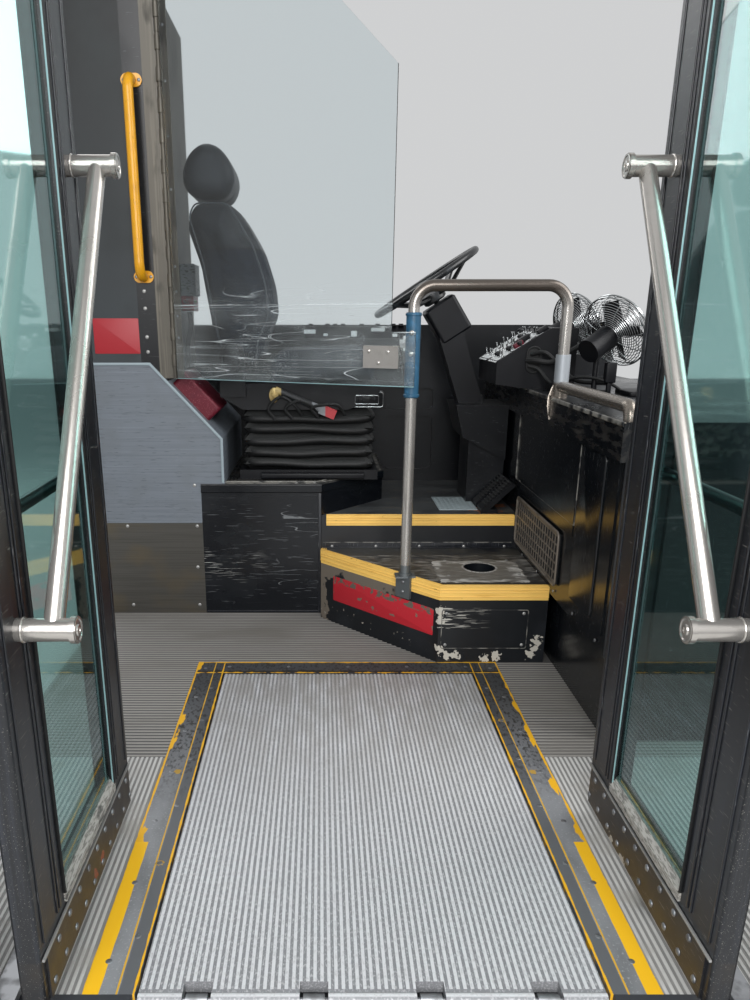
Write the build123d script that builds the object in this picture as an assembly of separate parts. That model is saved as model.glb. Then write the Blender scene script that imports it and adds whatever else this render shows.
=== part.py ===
"""Front entrance and driver's station of a low-floor city bus, in millimetres.

The bus frame is used throughout: x runs forward from the ramp's centreline, y runs in from
the door line (the axis of both door shafts) to the street side, and z runs up from the top
of the passenger floor. save() moves each piece so that the origin is under the deck's middle.
"""
from build123d import *
from math import asin, atan2, cos, hypot, radians, sin
import os

# Floor deck
DECK_REAR = -920
DECK_FRONT = 1160
DECK_KERB = -30
DECK_STREET = 2610
DECK_T = 70
MAT_T = 3
MAT_SEAM_LEAD = 87

# Flip-out ramp
RAMP_W = 780
RAMP_L = 1258
RAMP_T = 24
RAMP_HINGE_Y = 78
RAMP_GAP = 5
RAMP_STRIP_W = 89
RAMP_REST_W = 20
RAMP_UNDER_GAP = 16
RAMP_MOUTH_GAP = 10
RAMP_RIB_PITCH = 12
RAMP_RIB_W = 6
RAMP_RIB_H = 1.5
LUG_COUNT = 4
LUG_W = 36
LUG_R = 10
LUG_FOOT = 24
LUG_FOOT_T = 5
LUG_NOTCH_GAP = 6
LUG_NOTCH_DEPTH = 28
HINGE_PIN_R = 4
PIN_GAP = 0.05
SEAT_GAP = 0.3

# Doorway: the arm is half as long as the leaf's guided span
ARM_L = 300
ARM_W = 40
ARM_T = 14
ARM_FLOOR_GAP = 12
ARM_LEAF_GAP = 18
ARM_PIN_R = 8
LEAF_END_GAP = 8
SEAL_GAP = 12
LEAF_OFFSET = 65
LEAF_T = 38
LEAF_TOP = 2060
STILE_W = 127
SILL_H = 112
HEAD_RAIL_H = 100
KICK_PROUD = 4
KICK_H = 88
MID_RAIL_Z = 800
MID_RAIL_R = 11
GLASS_T = 6
SHAFT_R = 17
HUB_R = 26
FOOT_PLATE_T = 8
POST_W = 84
POST_GAP = 38
POST_D = 90
JAMB_Y = 30
JAMB_T = 16
JAMB_GAP = 5
JAMB_END = 40
HEADER_Z = 2100
HEADER_H = 100

# Leaf handles
HANDLE_OFF = 52
STUB_L = 78
STUB_R = 17
STUB_CAP_R = 20
STUB_CAP_T = 8
HANDLE_R = 15
HANDLE_UPPER = (524, 1310)
HANDLE_LOWER = (78, 650)

# Driver's platform and fare box step
PLATFORM_W = 715
BOX_REAR = -522
BOX_FRONT = -86
BOX_WIDE = 157
BOX_BEVEL_IN = 287
BOX_TOP = 495
ROLL_PROUD = 5
ROLL_H = 32
ROLL_R = 4
FOOT_FRONT = 638
FOOT_TOP = 378
NOSING_H = 38
NOSING_T = 6
NOSING_W = 20
NOSING_END_GAP = 12
COVER_ROUND = 12
PLINTH_TOP = 257
PLINTH_BEVEL_X = 292
PLINTH_RISE = 52
PLINTH_NOSING_H = 44
PLINTH_NOSING_W = 28
PORT_R = 53
PORT_D = 80
PORT_X = 455
# Shares of the step's depth at which the port and the stanchion stand
PORT_SHARE = 0.452
POLE_SHARE = 0.241

# Wheelhouse, partition and bulkhead
COVER_BOTTOM = 354
COVER_TOP = 921
COVER_NOSE_X = -435
COVER_NOSE_TOP = 660
COVER_SLOPE_X = -677
PARTITION_TOP = 2080
PARTITION_T = 30
POST_REAR_X = -707
POST_FRONT_X = -619
PARTITION_POST_T = 40
BULKHEAD_T = 30

# First aid case on the cover's slope, and the call box on the bulkhead
CASE_IN = 155
CASE_SHARE = 0.53
CASE_W = 180
CASE_L = 240
CASE_H = 60
CASE_R = 14
CALL_BOX_IN = 441
CALL_BOX_W = 120
CALL_BOX_LOW = 1092
CALL_BASE_H = 56
CALL_BASE_D = 46
CALL_LID_H = 114
CALL_LID_D = 56
CALL_R = 10

# Grab handle
GRAB_X = -679
GRAB_LOW = 1198
GRAB_HIGH = 1774
GRAB_OFF = 62
GRAB_R = 16
GRAB_BEND = 40
FLANGE_T = 6
FLANGE_W = 38
FLANGE_L = 66

# Driver's barrier
HINGE_X = -590
HINGE_OFF = 8
BARRIER_LOW = 868
BARRIER_TOP = 2050
BARRIER_GAP = 6
KNUCKLES = 8
KNUCKLE_R = 7
KNUCKLE_PIN_R = 2.5
KNUCKLE_GAP = 1
HINGE_LEAF_T = 3
HINGE_LEAF_W = 38
FIXED_LEAF_LAP = 25
SHEET_T = 6
SHEET_START = 14
SHEET_TAB_END = 872
SHEET_TAB_TOP = 1028
SHEET_EDGE = 796
SHEET_SHOULDER = 1727
SHEET_PEAK_START = 470
LATCH_START = 712
LATCH_W = 114
LATCH_H = 66
LATCH_Z = 955
LATCH_T = 14

# Rails
POLE_X = 191
POLE_R = 17
POLE_BEND = 62
RAIL_Z = 1159
RAIL_END_X = 648
POLE_FOOT_W = 66
POLE_FOOT_H = 14
SADDLE_W = 62
SADDLE_T = 9
SADDLE_H = 78
SLEEVE_LOW = 835
SLEEVE_HIGH = 1083
SLEEVE_R = 22
ELBOW_SEAT = 900
ELBOW_TOP = 962
ELBOW_R = 22
STRAP_T = 6
STRAP_W = 28
STRAP_H = 55
CABINET_RAIL_R = 17
CABINET_RAIL_Z = 868
CABINET_RAIL_IN = 29
CABINET_RAIL_BEND = 30

# Front cabinet
CABINET_REACH = 974
CABINET_TOP = 835
LEDGE_H = 95
LEDGE_PROUD = 14
TOE_H = 240
TOE_DEPTH = 28
PANEL_PROUD = 4
# Access panels on the cabinet's face, as y0, y1, z0, z1, with y from the platform's edge
CABINET_PANELS = (
    (-642, -10, 470, 737),
    (-950, -657, 290, 745),
)
GRILLE_T = 8
GRILLE_BOX = (-533, -10, 290, 446)
GRILLE_RIM = 12
GRILLE_ROWS = 5
GRILLE_COLUMNS = 18

# Dash pod and steering
POD_REAR = 512
POD_CREST = 690
POD_FRONT = 780
POD_OVERHANG = 52
POD_REACH = 257
POD_LIFT = 16
POD_LOW_H = 90
POD_HIGH_H = 200
WHEEL_X = 306
WHEEL_IN = 330
WHEEL_Z = 1193
WHEEL_R = 222
WHEEL_TILT = 33
RIM_R = 14
RIM_SIDES = 12
WHEEL_HUB_R = 48
WHEEL_HUB_L = 40
WHEEL_DISH = 40
SPOKE_R = 9
SPOKES = 4
SHAFT_END_R = 11
WHEEL_GAP = 6
COLUMN_FOOT_X = 492
HEAD_W = 112
HEAD_D = 128
HEAD_L = 140
HEAD_ROUND = 16
KNEE_SHARE = 0.35
COLUMN_W = 100
COLUMN_D = 90
COLUMN_COLLAR = 30
HOUSING_REAR = 425
HOUSING_W = 240
HOUSING_LOW = 545
HOUSING_KNEE = 634
HOUSING_TAPER = 30
HOUSING_TOP = 755
LEG_SETBACK = 58
LEG_W = 200
PEDAL_X = 508
PEDAL_L = 156
PEDAL_LEAN = 46
PEDAL_T = 14
PEDAL_FOOT_L = 60
PEDAL_FOOT_H = 16
# Pedals, as distance in from the platform's edge and width
PEDALS = ((30, 80), (135, 75))

# Fans: x of each rotor's centre, its distance in from the platform's edge, z, and the way each
# faces in plan and up
FANS = (
    ("1", 864, -170, 1028, 31, 27),
    ("2", 898, 367, 1044, 24, 20),
)
FAN_R = 118
FAN_DEPTH = 80
FAN_WIRE_T = 3
FAN_WIRES = 10
FAN_BEND_SHARE = 0.86
FAN_BLADES = 4
FAN_HUB_R = 20
FAN_HUB_L = 24
FAN_SHAFT_R = 4
FAN_COLLAR_T = 4
FAN_PITCH = 28
FAN_BLADE_W = 52
FAN_BLADE_T = 2.4
FAN_TIP_GAP = 20
MOTOR_R = 38
MOTOR_L = 96
FAN_POST_R = 9
FAN_FOOT_R = 38
FAN_FOOT_T = 12

# Street side
SIDE_WALL_TOP = 1040
SIDE_WALL_T = 40
RECESS_D = 12
RECESS_R = 24
# Moulded recesses in the wall, as x0, x1, z0, z1
WALL_RECESSES = (
    (190, 400, 690, 780),
    (190, 400, 430, 660),
    (-60, 140, 560, 780),
)
CONSOLE_REAR = -150
CONSOLE_FRONT = 330
CONSOLE_W = 110
CONSOLE_H = 105

# Seat
SEAT_IN = 287
BELLOWS_REAR = -367
BELLOWS_FRONT = 104
BELLOWS_W = 400
BELLOWS_FOLDS = 5
FOLD_DEPTH = 20
SEAT_BASE_T = 36
SEAT_SUSPENSION_TOP = 752
PAN_H = 92
PAN_W = 430
CUSHION_REAR = -280
CUSHION_FRONT = 125
CUSHION_W = 470
CUSHION_T = 118
RECLINE_X = -400
RECLINE_Z = 940
RECLINE_PIN_R = 10
PIN_DEPTH = 20
RECLINER_T = 10
RECLINER_R = 46
BACK_W = 430
HEADREST_W = 280
SOFT_R = 22
SOFT_GAP = 8
# Side outlines of the back and the headrest, as x and z from the lower rear corner round the front
BACK_OUTLINE = ((-432, 905), (-300, 905), (-296, 985), (-252, 1070), (-262, 1180), (-300, 1300),
                (-350, 1385), (-392, 1450), (-520, 1450), (-548, 1395), (-505, 1250), (-462, 1000))
HEADREST_OUTLINE = ((-515, 1450), (-405, 1450), (-372, 1515), (-382, 1570), (-430, 1632), (-490, 1645),
                    (-545, 1605), (-572, 1540), (-562, 1480))
BUCKLE_X = -250
BUCKLE_Z = 824
BUCKLE_RUN = 160
BUCKLE_DROP = 66
BUCKLE_R = 12
BUCKLE_T = 20
BUCKLE_W = 34
BUCKLE_L = 60

SHAFT_X = 2 * ARM_L - LEAF_END_GAP + SEAL_GAP / 2
LEAF_W = 2 * (ARM_L - LEAF_END_GAP)
LEAF_X = SHAFT_X - LEAF_OFFSET
LEAF_BOTTOM = ARM_FLOOR_GAP + ARM_T + ARM_LEAF_GAP
POST_OUTER_X = SHAFT_X + POST_GAP + POST_W
POST_INNER_X = SHAFT_X + POST_GAP
RAMP_HINGE_Z = -RAMP_T / 2
PAN_Z = -RAMP_T - RAMP_UNDER_GAP
RAMP_FAR_Y = RAMP_HINGE_Y + RAMP_L
STRIP_IN_X = RAMP_W / 2 + RAMP_GAP
STRIP_OUT_X = STRIP_IN_X + RAMP_STRIP_W
FRAME_FAR_Y = RAMP_FAR_Y + RAMP_GAP + RAMP_STRIP_W
MOUTH_X = RAMP_W / 2 + RAMP_MOUTH_GAP
PLATFORM_Y = DECK_STREET - PLATFORM_W
STEP_DEPTH = PLATFORM_Y - FRAME_FAR_Y
PORT_Y = FRAME_FAR_Y + PORT_SHARE * STEP_DEPTH
POLE_Y = FRAME_FAR_Y + POLE_SHARE * STEP_DEPTH
BOX_BEVEL_Y = PLATFORM_Y + BOX_BEVEL_IN
PLINTH_RISE_Y = PLATFORM_Y - PLINTH_RISE
CABINET_NEAR_Y = PLATFORM_Y - CABINET_REACH
CABINET_RAIL_NEAR_Y = CABINET_NEAR_Y + CABINET_RAIL_IN
MAT_SEAM_Y = CABINET_NEAR_Y - MAT_SEAM_LEAD
POD_NEAR_Y = PLATFORM_Y - POD_OVERHANG
POD_FAR_Y = PLATFORM_Y + POD_REACH
WHEEL_Y = PLATFORM_Y + WHEEL_IN
SEAT_Y = PLATFORM_Y + SEAT_IN
ORIGIN = Pos(-(DECK_REAR + DECK_FRONT) / 2, -(DECK_KERB + DECK_STREET) / 2, DECK_T)
CENTRED_MIN = (Align.CENTER, Align.CENTER, Align.MIN)


def block(x0, x1, y0, y1, z0, z1):
    """A plain block between two corners."""
    return Pos((x0 + x1) / 2, (y0 + y1) / 2, (z0 + z1) / 2) * Box(x1 - x0, y1 - y0, z1 - z0)


def plate(points, along, length):
    """A closed outline of 3-D points, extruded by a length along a direction."""
    return extrude(make_face(Polyline(*points, close=True)), amount=length, dir=along)


def plan_prism(points, z0, z1):
    return plate([(x, y, z0) for x, y in points], (0, 0, 1), z1 - z0)


def side_prism(points, y0, y1):
    """An outline in x and z, extruded across the bus."""
    return plate([(x, y0, z) for x, z in points], (0, 1, 0), y1 - y0)


def cross_prism(points, x0, x1):
    """An outline in y and z, extruded along the bus."""
    return plate([(x0, y, z) for y, z in points], (1, 0, 0), x1 - x0)


def rod(start, end, radius):
    run = Vector(*end) - Vector(*start)
    return Plane(origin=start, z_dir=run) * Cylinder(radius, run.length, align=CENTRED_MIN)


def tube(points, radius, bend):
    """A round bar along straight runs with equal bends."""
    path = FilletPolyline(*points, radius=bend)
    return sweep(Plane(origin=path @ 0, z_dir=path % 0) * Circle(radius), path=path)


def mirror_x(shape):
    return mirror(shape, about=Plane.YZ)


def save(name, shape):
    export_step(ORIGIN * shape, f"parts/{name}.step")


def floor_deck():
    """Sandwich deck: raised sill at the door, a pocket for the ramp and its open mouth."""
    deck = block(DECK_REAR, DECK_FRONT, DECK_KERB, DECK_STREET, -DECK_T, -MAT_T)
    deck += block(DECK_REAR, DECK_FRONT, DECK_KERB, RAMP_HINGE_Y, -MAT_T, 0)
    deck -= block(-STRIP_OUT_X, STRIP_OUT_X, RAMP_HINGE_Y, FRAME_FAR_Y, PAN_Z, 0)
    return deck - block(-MOUTH_X, MOUTH_X, DECK_KERB, RAMP_HINGE_Y, -DECK_T, 0)


def floor_mats():
    """Ribbed floor covering, in one piece near the door and one past the seam."""
    near = block(DECK_REAR, -STRIP_OUT_X, RAMP_HINGE_Y, MAT_SEAM_Y, -MAT_T, 0)
    near += block(STRIP_OUT_X, DECK_FRONT, RAMP_HINGE_Y, MAT_SEAM_Y, -MAT_T, 0)
    far = block(DECK_REAR, DECK_FRONT, MAT_SEAM_Y, PLATFORM_Y, -MAT_T, 0)
    far -= block(-STRIP_OUT_X, STRIP_OUT_X, MAT_SEAM_Y, FRAME_FAR_Y, -MAT_T, 0)
    cabinet = block(FOOT_FRONT + TOE_DEPTH, DECK_FRONT, CABINET_NEAR_Y, PLATFORM_Y, -MAT_T, 0)
    return near - cabinet, far - cabinet - plan_prism(plinth_outline(), -MAT_T, 0)


def ramp_frame():
    """Side and end strips round the plate, with a bar that the plate's far edge rests on."""
    frame = block(-STRIP_OUT_X, STRIP_OUT_X, RAMP_HINGE_Y, FRAME_FAR_Y, PAN_Z, 0)
    frame -= block(-STRIP_IN_X, STRIP_IN_X, RAMP_HINGE_Y, RAMP_FAR_Y + RAMP_GAP, PAN_Z, 0)
    rest_y = RAMP_FAR_Y - RAMP_REST_W
    return frame + block(-STRIP_IN_X, STRIP_IN_X, rest_y, RAMP_FAR_Y + RAMP_GAP,
                         PAN_Z, -RAMP_T - SEAT_GAP)


def lug_places():
    step = RAMP_W / LUG_COUNT
    return [(i + 0.5) * step - RAMP_W / 2 for i in range(LUG_COUNT)]


def ramp_plate():
    """Plate with lengthwise ribs and a round nose that turns about the hinge pin."""
    ribs = int(RAMP_W / RAMP_RIB_PITCH)
    start = -(ribs * RAMP_RIB_PITCH - (RAMP_RIB_PITCH - RAMP_RIB_W)) / 2
    outline = [(-RAMP_W / 2, -RAMP_T), (-RAMP_W / 2, -RAMP_RIB_H)]
    for i in range(ribs):
        x = start + i * RAMP_RIB_PITCH
        outline += [(x, -RAMP_RIB_H), (x, 0), (x + RAMP_RIB_W, 0), (x + RAMP_RIB_W, -RAMP_RIB_H)]
    outline += [(RAMP_W / 2, -RAMP_RIB_H), (RAMP_W / 2, -RAMP_T)]
    panel = side_prism(outline, RAMP_HINGE_Y + RAMP_T / 2, RAMP_FAR_Y)
    left = (-RAMP_W / 2, RAMP_HINGE_Y, RAMP_HINGE_Z)
    right = (RAMP_W / 2, RAMP_HINGE_Y, RAMP_HINGE_Z)
    panel += rod(left, right, RAMP_T / 2)
    panel += block(-RAMP_W / 2, RAMP_W / 2, RAMP_HINGE_Y, RAMP_HINGE_Y + RAMP_T / 2,
                   -RAMP_T, -RAMP_RIB_H)
    notch = LUG_W / 2 + LUG_NOTCH_GAP
    for x in lug_places():
        panel -= block(x - notch, x + notch, RAMP_HINGE_Y - RAMP_T, RAMP_HINGE_Y + LUG_NOTCH_DEPTH,
                       -2 * RAMP_T, RAMP_T)
    return panel - rod(left, right, HINGE_PIN_R + PIN_GAP)


def ramp_hinge():
    """Pin and the lugs that carry it, each on a foot on the pocket's floor."""
    ends = RAMP_W / 2
    hinge = rod((-ends, RAMP_HINGE_Y, RAMP_HINGE_Z), (ends, RAMP_HINGE_Y, RAMP_HINGE_Z), HINGE_PIN_R)
    for x in lug_places():
        x0, x1 = x - LUG_W / 2, x + LUG_W / 2
        hinge += rod((x0, RAMP_HINGE_Y, RAMP_HINGE_Z), (x1, RAMP_HINGE_Y, RAMP_HINGE_Z), LUG_R)
        hinge += block(x0, x1, RAMP_HINGE_Y, RAMP_HINGE_Y + LUG_R, PAN_Z, RAMP_HINGE_Z)
        hinge += block(x0, x1, RAMP_HINGE_Y, RAMP_HINGE_Y + LUG_FOOT, PAN_Z, PAN_Z + LUG_FOOT_T)
    return hinge


def door_post():
    """Front post: box section, bearing foot and the jamb that the leaf's end closes against."""
    post = block(POST_INNER_X, POST_OUTER_X, DECK_KERB, DECK_KERB + POST_D, 0, HEADER_Z)
    foot = block(SHAFT_X, POST_INNER_X, DECK_KERB, -DECK_KERB, 0, FOOT_PLATE_T)
    foot += Pos(SHAFT_X, 0, 0) * Cylinder(-DECK_KERB, FOOT_PLATE_T, align=CENTRED_MIN)
    foot -= Pos(SHAFT_X, 0, 0) * Cylinder(SHAFT_R + PIN_GAP, FOOT_PLATE_T, align=CENTRED_MIN)
    jamb = block(SHAFT_X + JAMB_GAP, POST_INNER_X, JAMB_Y, JAMB_Y + JAMB_T,
                 JAMB_END, LEAF_TOP - FOOT_PLATE_T)
    return post + foot + jamb


def door_header():
    """Beam over both posts, with a bearing plate for each shaft."""
    header = block(-POST_OUTER_X, POST_OUTER_X, DECK_KERB, DECK_KERB + POST_D,
                   HEADER_Z, HEADER_Z + HEADER_H)
    low = HEADER_Z - FOOT_PLATE_T
    for side in (-1, 1):
        ring = Pos(side * SHAFT_X, 0, low) * Cylinder(-DECK_KERB, FOOT_PLATE_T, align=CENTRED_MIN)
        header += ring
        header -= Pos(side * SHAFT_X, 0, low) * Cylinder(SHAFT_R + PIN_GAP, FOOT_PLATE_T,
                                                         align=CENTRED_MIN)
    return header


def door_shaft():
    """Front shaft with a lower and an upper arm, as they stand with the door open."""
    shaft = rod((SHAFT_X, 0, SEAT_GAP), (SHAFT_X, 0, HEADER_Z - SEAT_GAP), SHAFT_R)
    low = ARM_FLOOR_GAP
    high = LEAF_TOP + ARM_T - PIN_GAP
    pins = ((low, low, LEAF_BOTTOM + ARM_T), (high, LEAF_TOP - ARM_T, high + ARM_T))
    for z, pin_low, pin_high in pins:
        arm = block(SHAFT_X - ARM_W / 2, SHAFT_X + ARM_W / 2, 0, ARM_L, z, z + ARM_T)
        arm += Pos(SHAFT_X, 0, z) * Cylinder(HUB_R, ARM_T, align=CENTRED_MIN)
        arm += Pos(SHAFT_X, ARM_L, z) * Cylinder(ARM_W / 2, ARM_T, align=CENTRED_MIN)
        shaft += arm + rod((SHAFT_X, ARM_L, pin_low), (SHAFT_X, ARM_L, pin_high), ARM_PIN_R)
    return shaft


def window_box(inset=0):
    """Clear window of the leaf, as y0, y1, z0, z1."""
    return (LEAF_END_GAP + STILE_W + inset, LEAF_END_GAP + LEAF_W - STILE_W - inset,
            LEAF_BOTTOM + SILL_H + inset, LEAF_TOP - HEAD_RAIL_H - inset)


def leaf_frame():
    """Front leaf, open: stiles and rails, kick panel, outer push rail and both arm brackets."""
    inner, outer = LEAF_X - LEAF_T / 2, LEAF_X + LEAF_T / 2
    y0, y1, z0, z1 = window_box()
    frame = block(inner, outer, LEAF_END_GAP, LEAF_END_GAP + LEAF_W, LEAF_BOTTOM, LEAF_TOP)
    frame = fillet(frame.edges().filter_by(Axis.Z), LEAF_T / 6)
    frame -= block(inner, outer, y0, y1, z0, z1)
    kick = block(inner - KICK_PROUD, inner, LEAF_END_GAP + LEAF_T / 2, LEAF_END_GAP + LEAF_W - LEAF_T / 2,
                 LEAF_BOTTOM, LEAF_BOTTOM + KICK_H)
    rail_x = outer - MID_RAIL_R
    frame += kick + rod((rail_x, y0, MID_RAIL_Z), (rail_x, y1, MID_RAIL_Z), MID_RAIL_R)
    for z in (LEAF_BOTTOM, LEAF_TOP - ARM_T):
        lug = block(outer, SHAFT_X, ARM_L - ARM_W / 2, ARM_L + ARM_W / 2, z, z + ARM_T)
        lug += Pos(SHAFT_X, ARM_L, z) * Cylinder(ARM_W / 2, ARM_T, align=CENTRED_MIN)
        lug -= Pos(SHAFT_X, ARM_L, z) * Cylinder(ARM_PIN_R + PIN_GAP, ARM_T, align=CENTRED_MIN)
        frame += lug
    return frame


def leaf_glass():
    y0, y1, z0, z1 = window_box()
    inner = LEAF_X - LEAF_T / 2 + GLASS_T
    return block(inner, inner + GLASS_T, y0, y1, z0, z1)


def leaf_handle():
    """Slanted tube between two stub fittings on the leaf's passage face."""
    face = LEAF_X - LEAF_T / 2
    axis = face - HANDLE_OFF
    ends = [(axis, y, z) for y, z in (HANDLE_UPPER, HANDLE_LOWER)]
    handle = rod(*ends, HANDLE_R)
    for _, y, z in ends:
        handle += rod((face, y, z), (face - STUB_L, y, z), STUB_R)
        handle += rod((face - STUB_L, y, z), (face - STUB_L - STUB_CAP_T, y, z), STUB_CAP_R)
    return handle


def plinth_outline():
    """Fare box step in plan: it narrows towards the aisle along one slanted face."""
    return [(BOX_FRONT, PLATFORM_Y), (BOX_FRONT, PLINTH_RISE_Y), (PLINTH_BEVEL_X, FRAME_FAR_Y),
            (FOOT_FRONT, FRAME_FAR_Y), (FOOT_FRONT, PLATFORM_Y)]


def inset_edge(inset):
    """The step's two exposed top edges in plan, moved in from its faces."""
    (x0, y0), (x1, y1), (x2, y2) = plinth_outline()[1:4]
    run = hypot(x1 - x0, y1 - y0)
    nx, ny = (y0 - y1) / run, (x1 - x0) / run
    miter = inset / (1 + ny)
    return [(x0, y0 + inset / ny), (x1 + nx * miter, y1 + (ny + 1) * miter), (x2, y2 + inset)]


def plinth_nosing():
    """Angle along the two exposed top edges, let in flush with the faces."""
    edge = inset_edge(0)
    flange = plan_prism(edge + inset_edge(NOSING_T)[::-1], PLINTH_TOP - PLINTH_NOSING_H, PLINTH_TOP)
    return flange + plan_prism(edge + inset_edge(PLINTH_NOSING_W)[::-1], PLINTH_TOP - NOSING_T, PLINTH_TOP)


def farebox_plinth():
    """Closed box with a cable well in its top, cut back where the nosing lies."""
    plinth = plan_prism(plinth_outline(), -MAT_T, PLINTH_TOP) - plinth_nosing()
    return plinth - Pos(PORT_X, PORT_Y, PLINTH_TOP - PORT_D) * Cylinder(PORT_R, PORT_D, align=CENTRED_MIN)


def seat_box():
    """Raised box under the seat, its front corner cut on a slant, with a rolled top edge."""
    street = DECK_STREET - SIDE_WALL_T
    outline = [(BOX_REAR, PLATFORM_Y), (BOX_FRONT, PLATFORM_Y), (BOX_WIDE, BOX_BEVEL_Y),
               (BOX_WIDE, street), (BOX_REAR, street)]
    face = make_face(Polyline(*outline, close=True))
    roll = extrude(Pos(0, 0, BOX_TOP - ROLL_H) * offset(face, ROLL_PROUD, kind=Kind.INTERSECTION), ROLL_H)
    roll = fillet(roll.edges().group_by(Axis.Z)[0] + roll.edges().group_by(Axis.Z)[-1], ROLL_R)
    roll &= block(BOX_REAR, BOX_WIDE + ROLL_PROUD, PLATFORM_Y - ROLL_PROUD, street, BOX_TOP - ROLL_H, BOX_TOP)
    return plan_prism(outline, -MAT_T, BOX_TOP) + roll


def foot_platform():
    """Raised floor for the driver's feet, between the seat box and the cabinet."""
    outline = [(BOX_FRONT, PLATFORM_Y), (FOOT_FRONT, PLATFORM_Y), (FOOT_FRONT, DECK_STREET - SIDE_WALL_T),
               (BOX_WIDE, DECK_STREET - SIDE_WALL_T), (BOX_WIDE, BOX_BEVEL_Y)]
    return plan_prism(outline, -MAT_T, FOOT_TOP) - step_nosing()


def step_nosing():
    """Angle along the driver's step, let into its edge."""
    x0, x1 = BOX_FRONT + NOSING_W, FOOT_FRONT - NOSING_END_GAP
    nosing = block(x0, x1, PLATFORM_Y, PLATFORM_Y + NOSING_T, FOOT_TOP - NOSING_H, FOOT_TOP)
    return nosing + block(x0, x1, PLATFORM_Y, PLATFORM_Y + NOSING_W, FOOT_TOP - NOSING_T, FOOT_TOP)


def wheelhouse_cover():
    """Cover over the front wheelhouse, sloping down towards the seat."""
    outline = [(DECK_REAR, COVER_BOTTOM), (BOX_REAR, COVER_BOTTOM), (BOX_REAR, BOX_TOP),
               (COVER_NOSE_X, BOX_TOP), (COVER_NOSE_X, COVER_NOSE_TOP), (COVER_SLOPE_X, COVER_TOP),
               (DECK_REAR, COVER_TOP)]
    cover = side_prism(outline, PLATFORM_Y, DECK_STREET - SIDE_WALL_T)
    rounded = [(COVER_NOSE_X, COVER_NOSE_TOP), (COVER_SLOPE_X, COVER_TOP)]
    nose = [edge for edge in cover.edges().filter_by(Axis.Y)
            if any(hypot(edge.center().X - x, edge.center().Z - z) < COVER_ROUND for x, z in rounded)]
    return fillet(nose, COVER_ROUND)


def wheelhouse_skirt():
    return block(DECK_REAR, BOX_REAR, PLATFORM_Y, DECK_STREET - SIDE_WALL_T, -MAT_T, COVER_BOTTOM)


def slope_z(x):
    """Height of the wheelhouse cover's slope at x."""
    drop = (COVER_TOP - COVER_NOSE_TOP) / (COVER_NOSE_X - COVER_SLOPE_X)
    return COVER_TOP - max(0, x - COVER_SLOPE_X) * drop


def first_aid_case():
    """Case lying on the cover's slope."""
    low, high = Vector(COVER_NOSE_X, 0, COVER_NOSE_TOP), Vector(COVER_SLOPE_X, 0, COVER_TOP)
    run = low - high
    seat = Plane(origin=high + run * CASE_SHARE + Vector(0, PLATFORM_Y + CASE_IN, 0), x_dir=run,
                 z_dir=(-run.Z, 0, run.X))
    case = Box(CASE_W, CASE_L, CASE_H, align=CENTRED_MIN)
    case = fillet(case.edges().filter_by(Axis.Z), CASE_R)
    return seat * fillet(case.edges().group_by(Axis.Z)[-1], CASE_R / 2)


def call_box():
    """Control box on the bulkhead: a base with a deeper lid above it."""
    y = PLATFORM_Y + CALL_BOX_IN
    seam, top = CALL_BOX_LOW + CALL_BASE_H, CALL_BOX_LOW + CALL_BASE_H + CALL_LID_H
    base = block(POST_FRONT_X, POST_FRONT_X + CALL_BASE_D, y - CALL_BOX_W / 2, y + CALL_BOX_W / 2,
                 CALL_BOX_LOW, seam)
    lid = block(POST_FRONT_X, POST_FRONT_X + CALL_LID_D, y - CALL_BOX_W / 2, y + CALL_BOX_W / 2, seam, top)
    base = fillet(base.edges().filter_by(Axis.X).group_by(Axis.Z)[0], CALL_R)
    return base + fillet(lid.edges().group_by(Axis.X)[-1], CALL_R / 2)


def partition_panel():
    return block(DECK_REAR, POST_REAR_X, PLATFORM_Y, PLATFORM_Y + PARTITION_T, COVER_TOP, PARTITION_TOP)


def partition_post():
    """Post at the partition's front edge, cut at the foot to the cover's slope."""
    outline = [(POST_REAR_X, COVER_TOP), (COVER_SLOPE_X, COVER_TOP), (POST_FRONT_X, slope_z(POST_FRONT_X)),
               (POST_FRONT_X, PARTITION_TOP), (POST_REAR_X, PARTITION_TOP)]
    return side_prism(outline, PLATFORM_Y, PLATFORM_Y + PARTITION_POST_T)


def bulkhead():
    """Lined wall behind the seat, from the post to the street side."""
    rear = POST_FRONT_X - BULKHEAD_T
    outline = [(rear, slope_z(rear)), (POST_FRONT_X, slope_z(POST_FRONT_X)), (POST_FRONT_X, PARTITION_TOP),
               (rear, PARTITION_TOP)]
    return side_prism(outline, PLATFORM_Y + PARTITION_POST_T, DECK_STREET - SIDE_WALL_T)


def grab_handle():
    """Vertical handle on two oval flanges, bent back to the post at both ends."""
    y_out = PLATFORM_Y - GRAB_OFF
    path = [(GRAB_X, PLATFORM_Y - FLANGE_T, GRAB_LOW), (GRAB_X, y_out, GRAB_LOW),
            (GRAB_X, y_out, GRAB_HIGH), (GRAB_X, PLATFORM_Y - FLANGE_T, GRAB_HIGH)]
    handle = tube(path, GRAB_R, GRAB_BEND)
    face = Plane(origin=(GRAB_X, PLATFORM_Y, 0), x_dir=(1, 0, 0), z_dir=(0, -1, 0))
    for z in (GRAB_LOW, GRAB_HIGH):
        handle += extrude(face * Pos(0, z) * SlotOverall(FLANGE_L, FLANGE_W), amount=FLANGE_T)
    return handle


def barrier_axis():
    return HINGE_X, PLATFORM_Y - HINGE_OFF


def knuckle(index):
    """One barrel of the barrier's piano hinge, counted from the bottom."""
    x, y = barrier_axis()
    pitch = (BARRIER_TOP - BARRIER_LOW) / KNUCKLES
    low = BARRIER_LOW + index * pitch + KNUCKLE_GAP / 2
    high = BARRIER_LOW + (index + 1) * pitch - KNUCKLE_GAP / 2
    return low, high, rod((x, y, low), (x, y, high), KNUCKLE_R)


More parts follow.
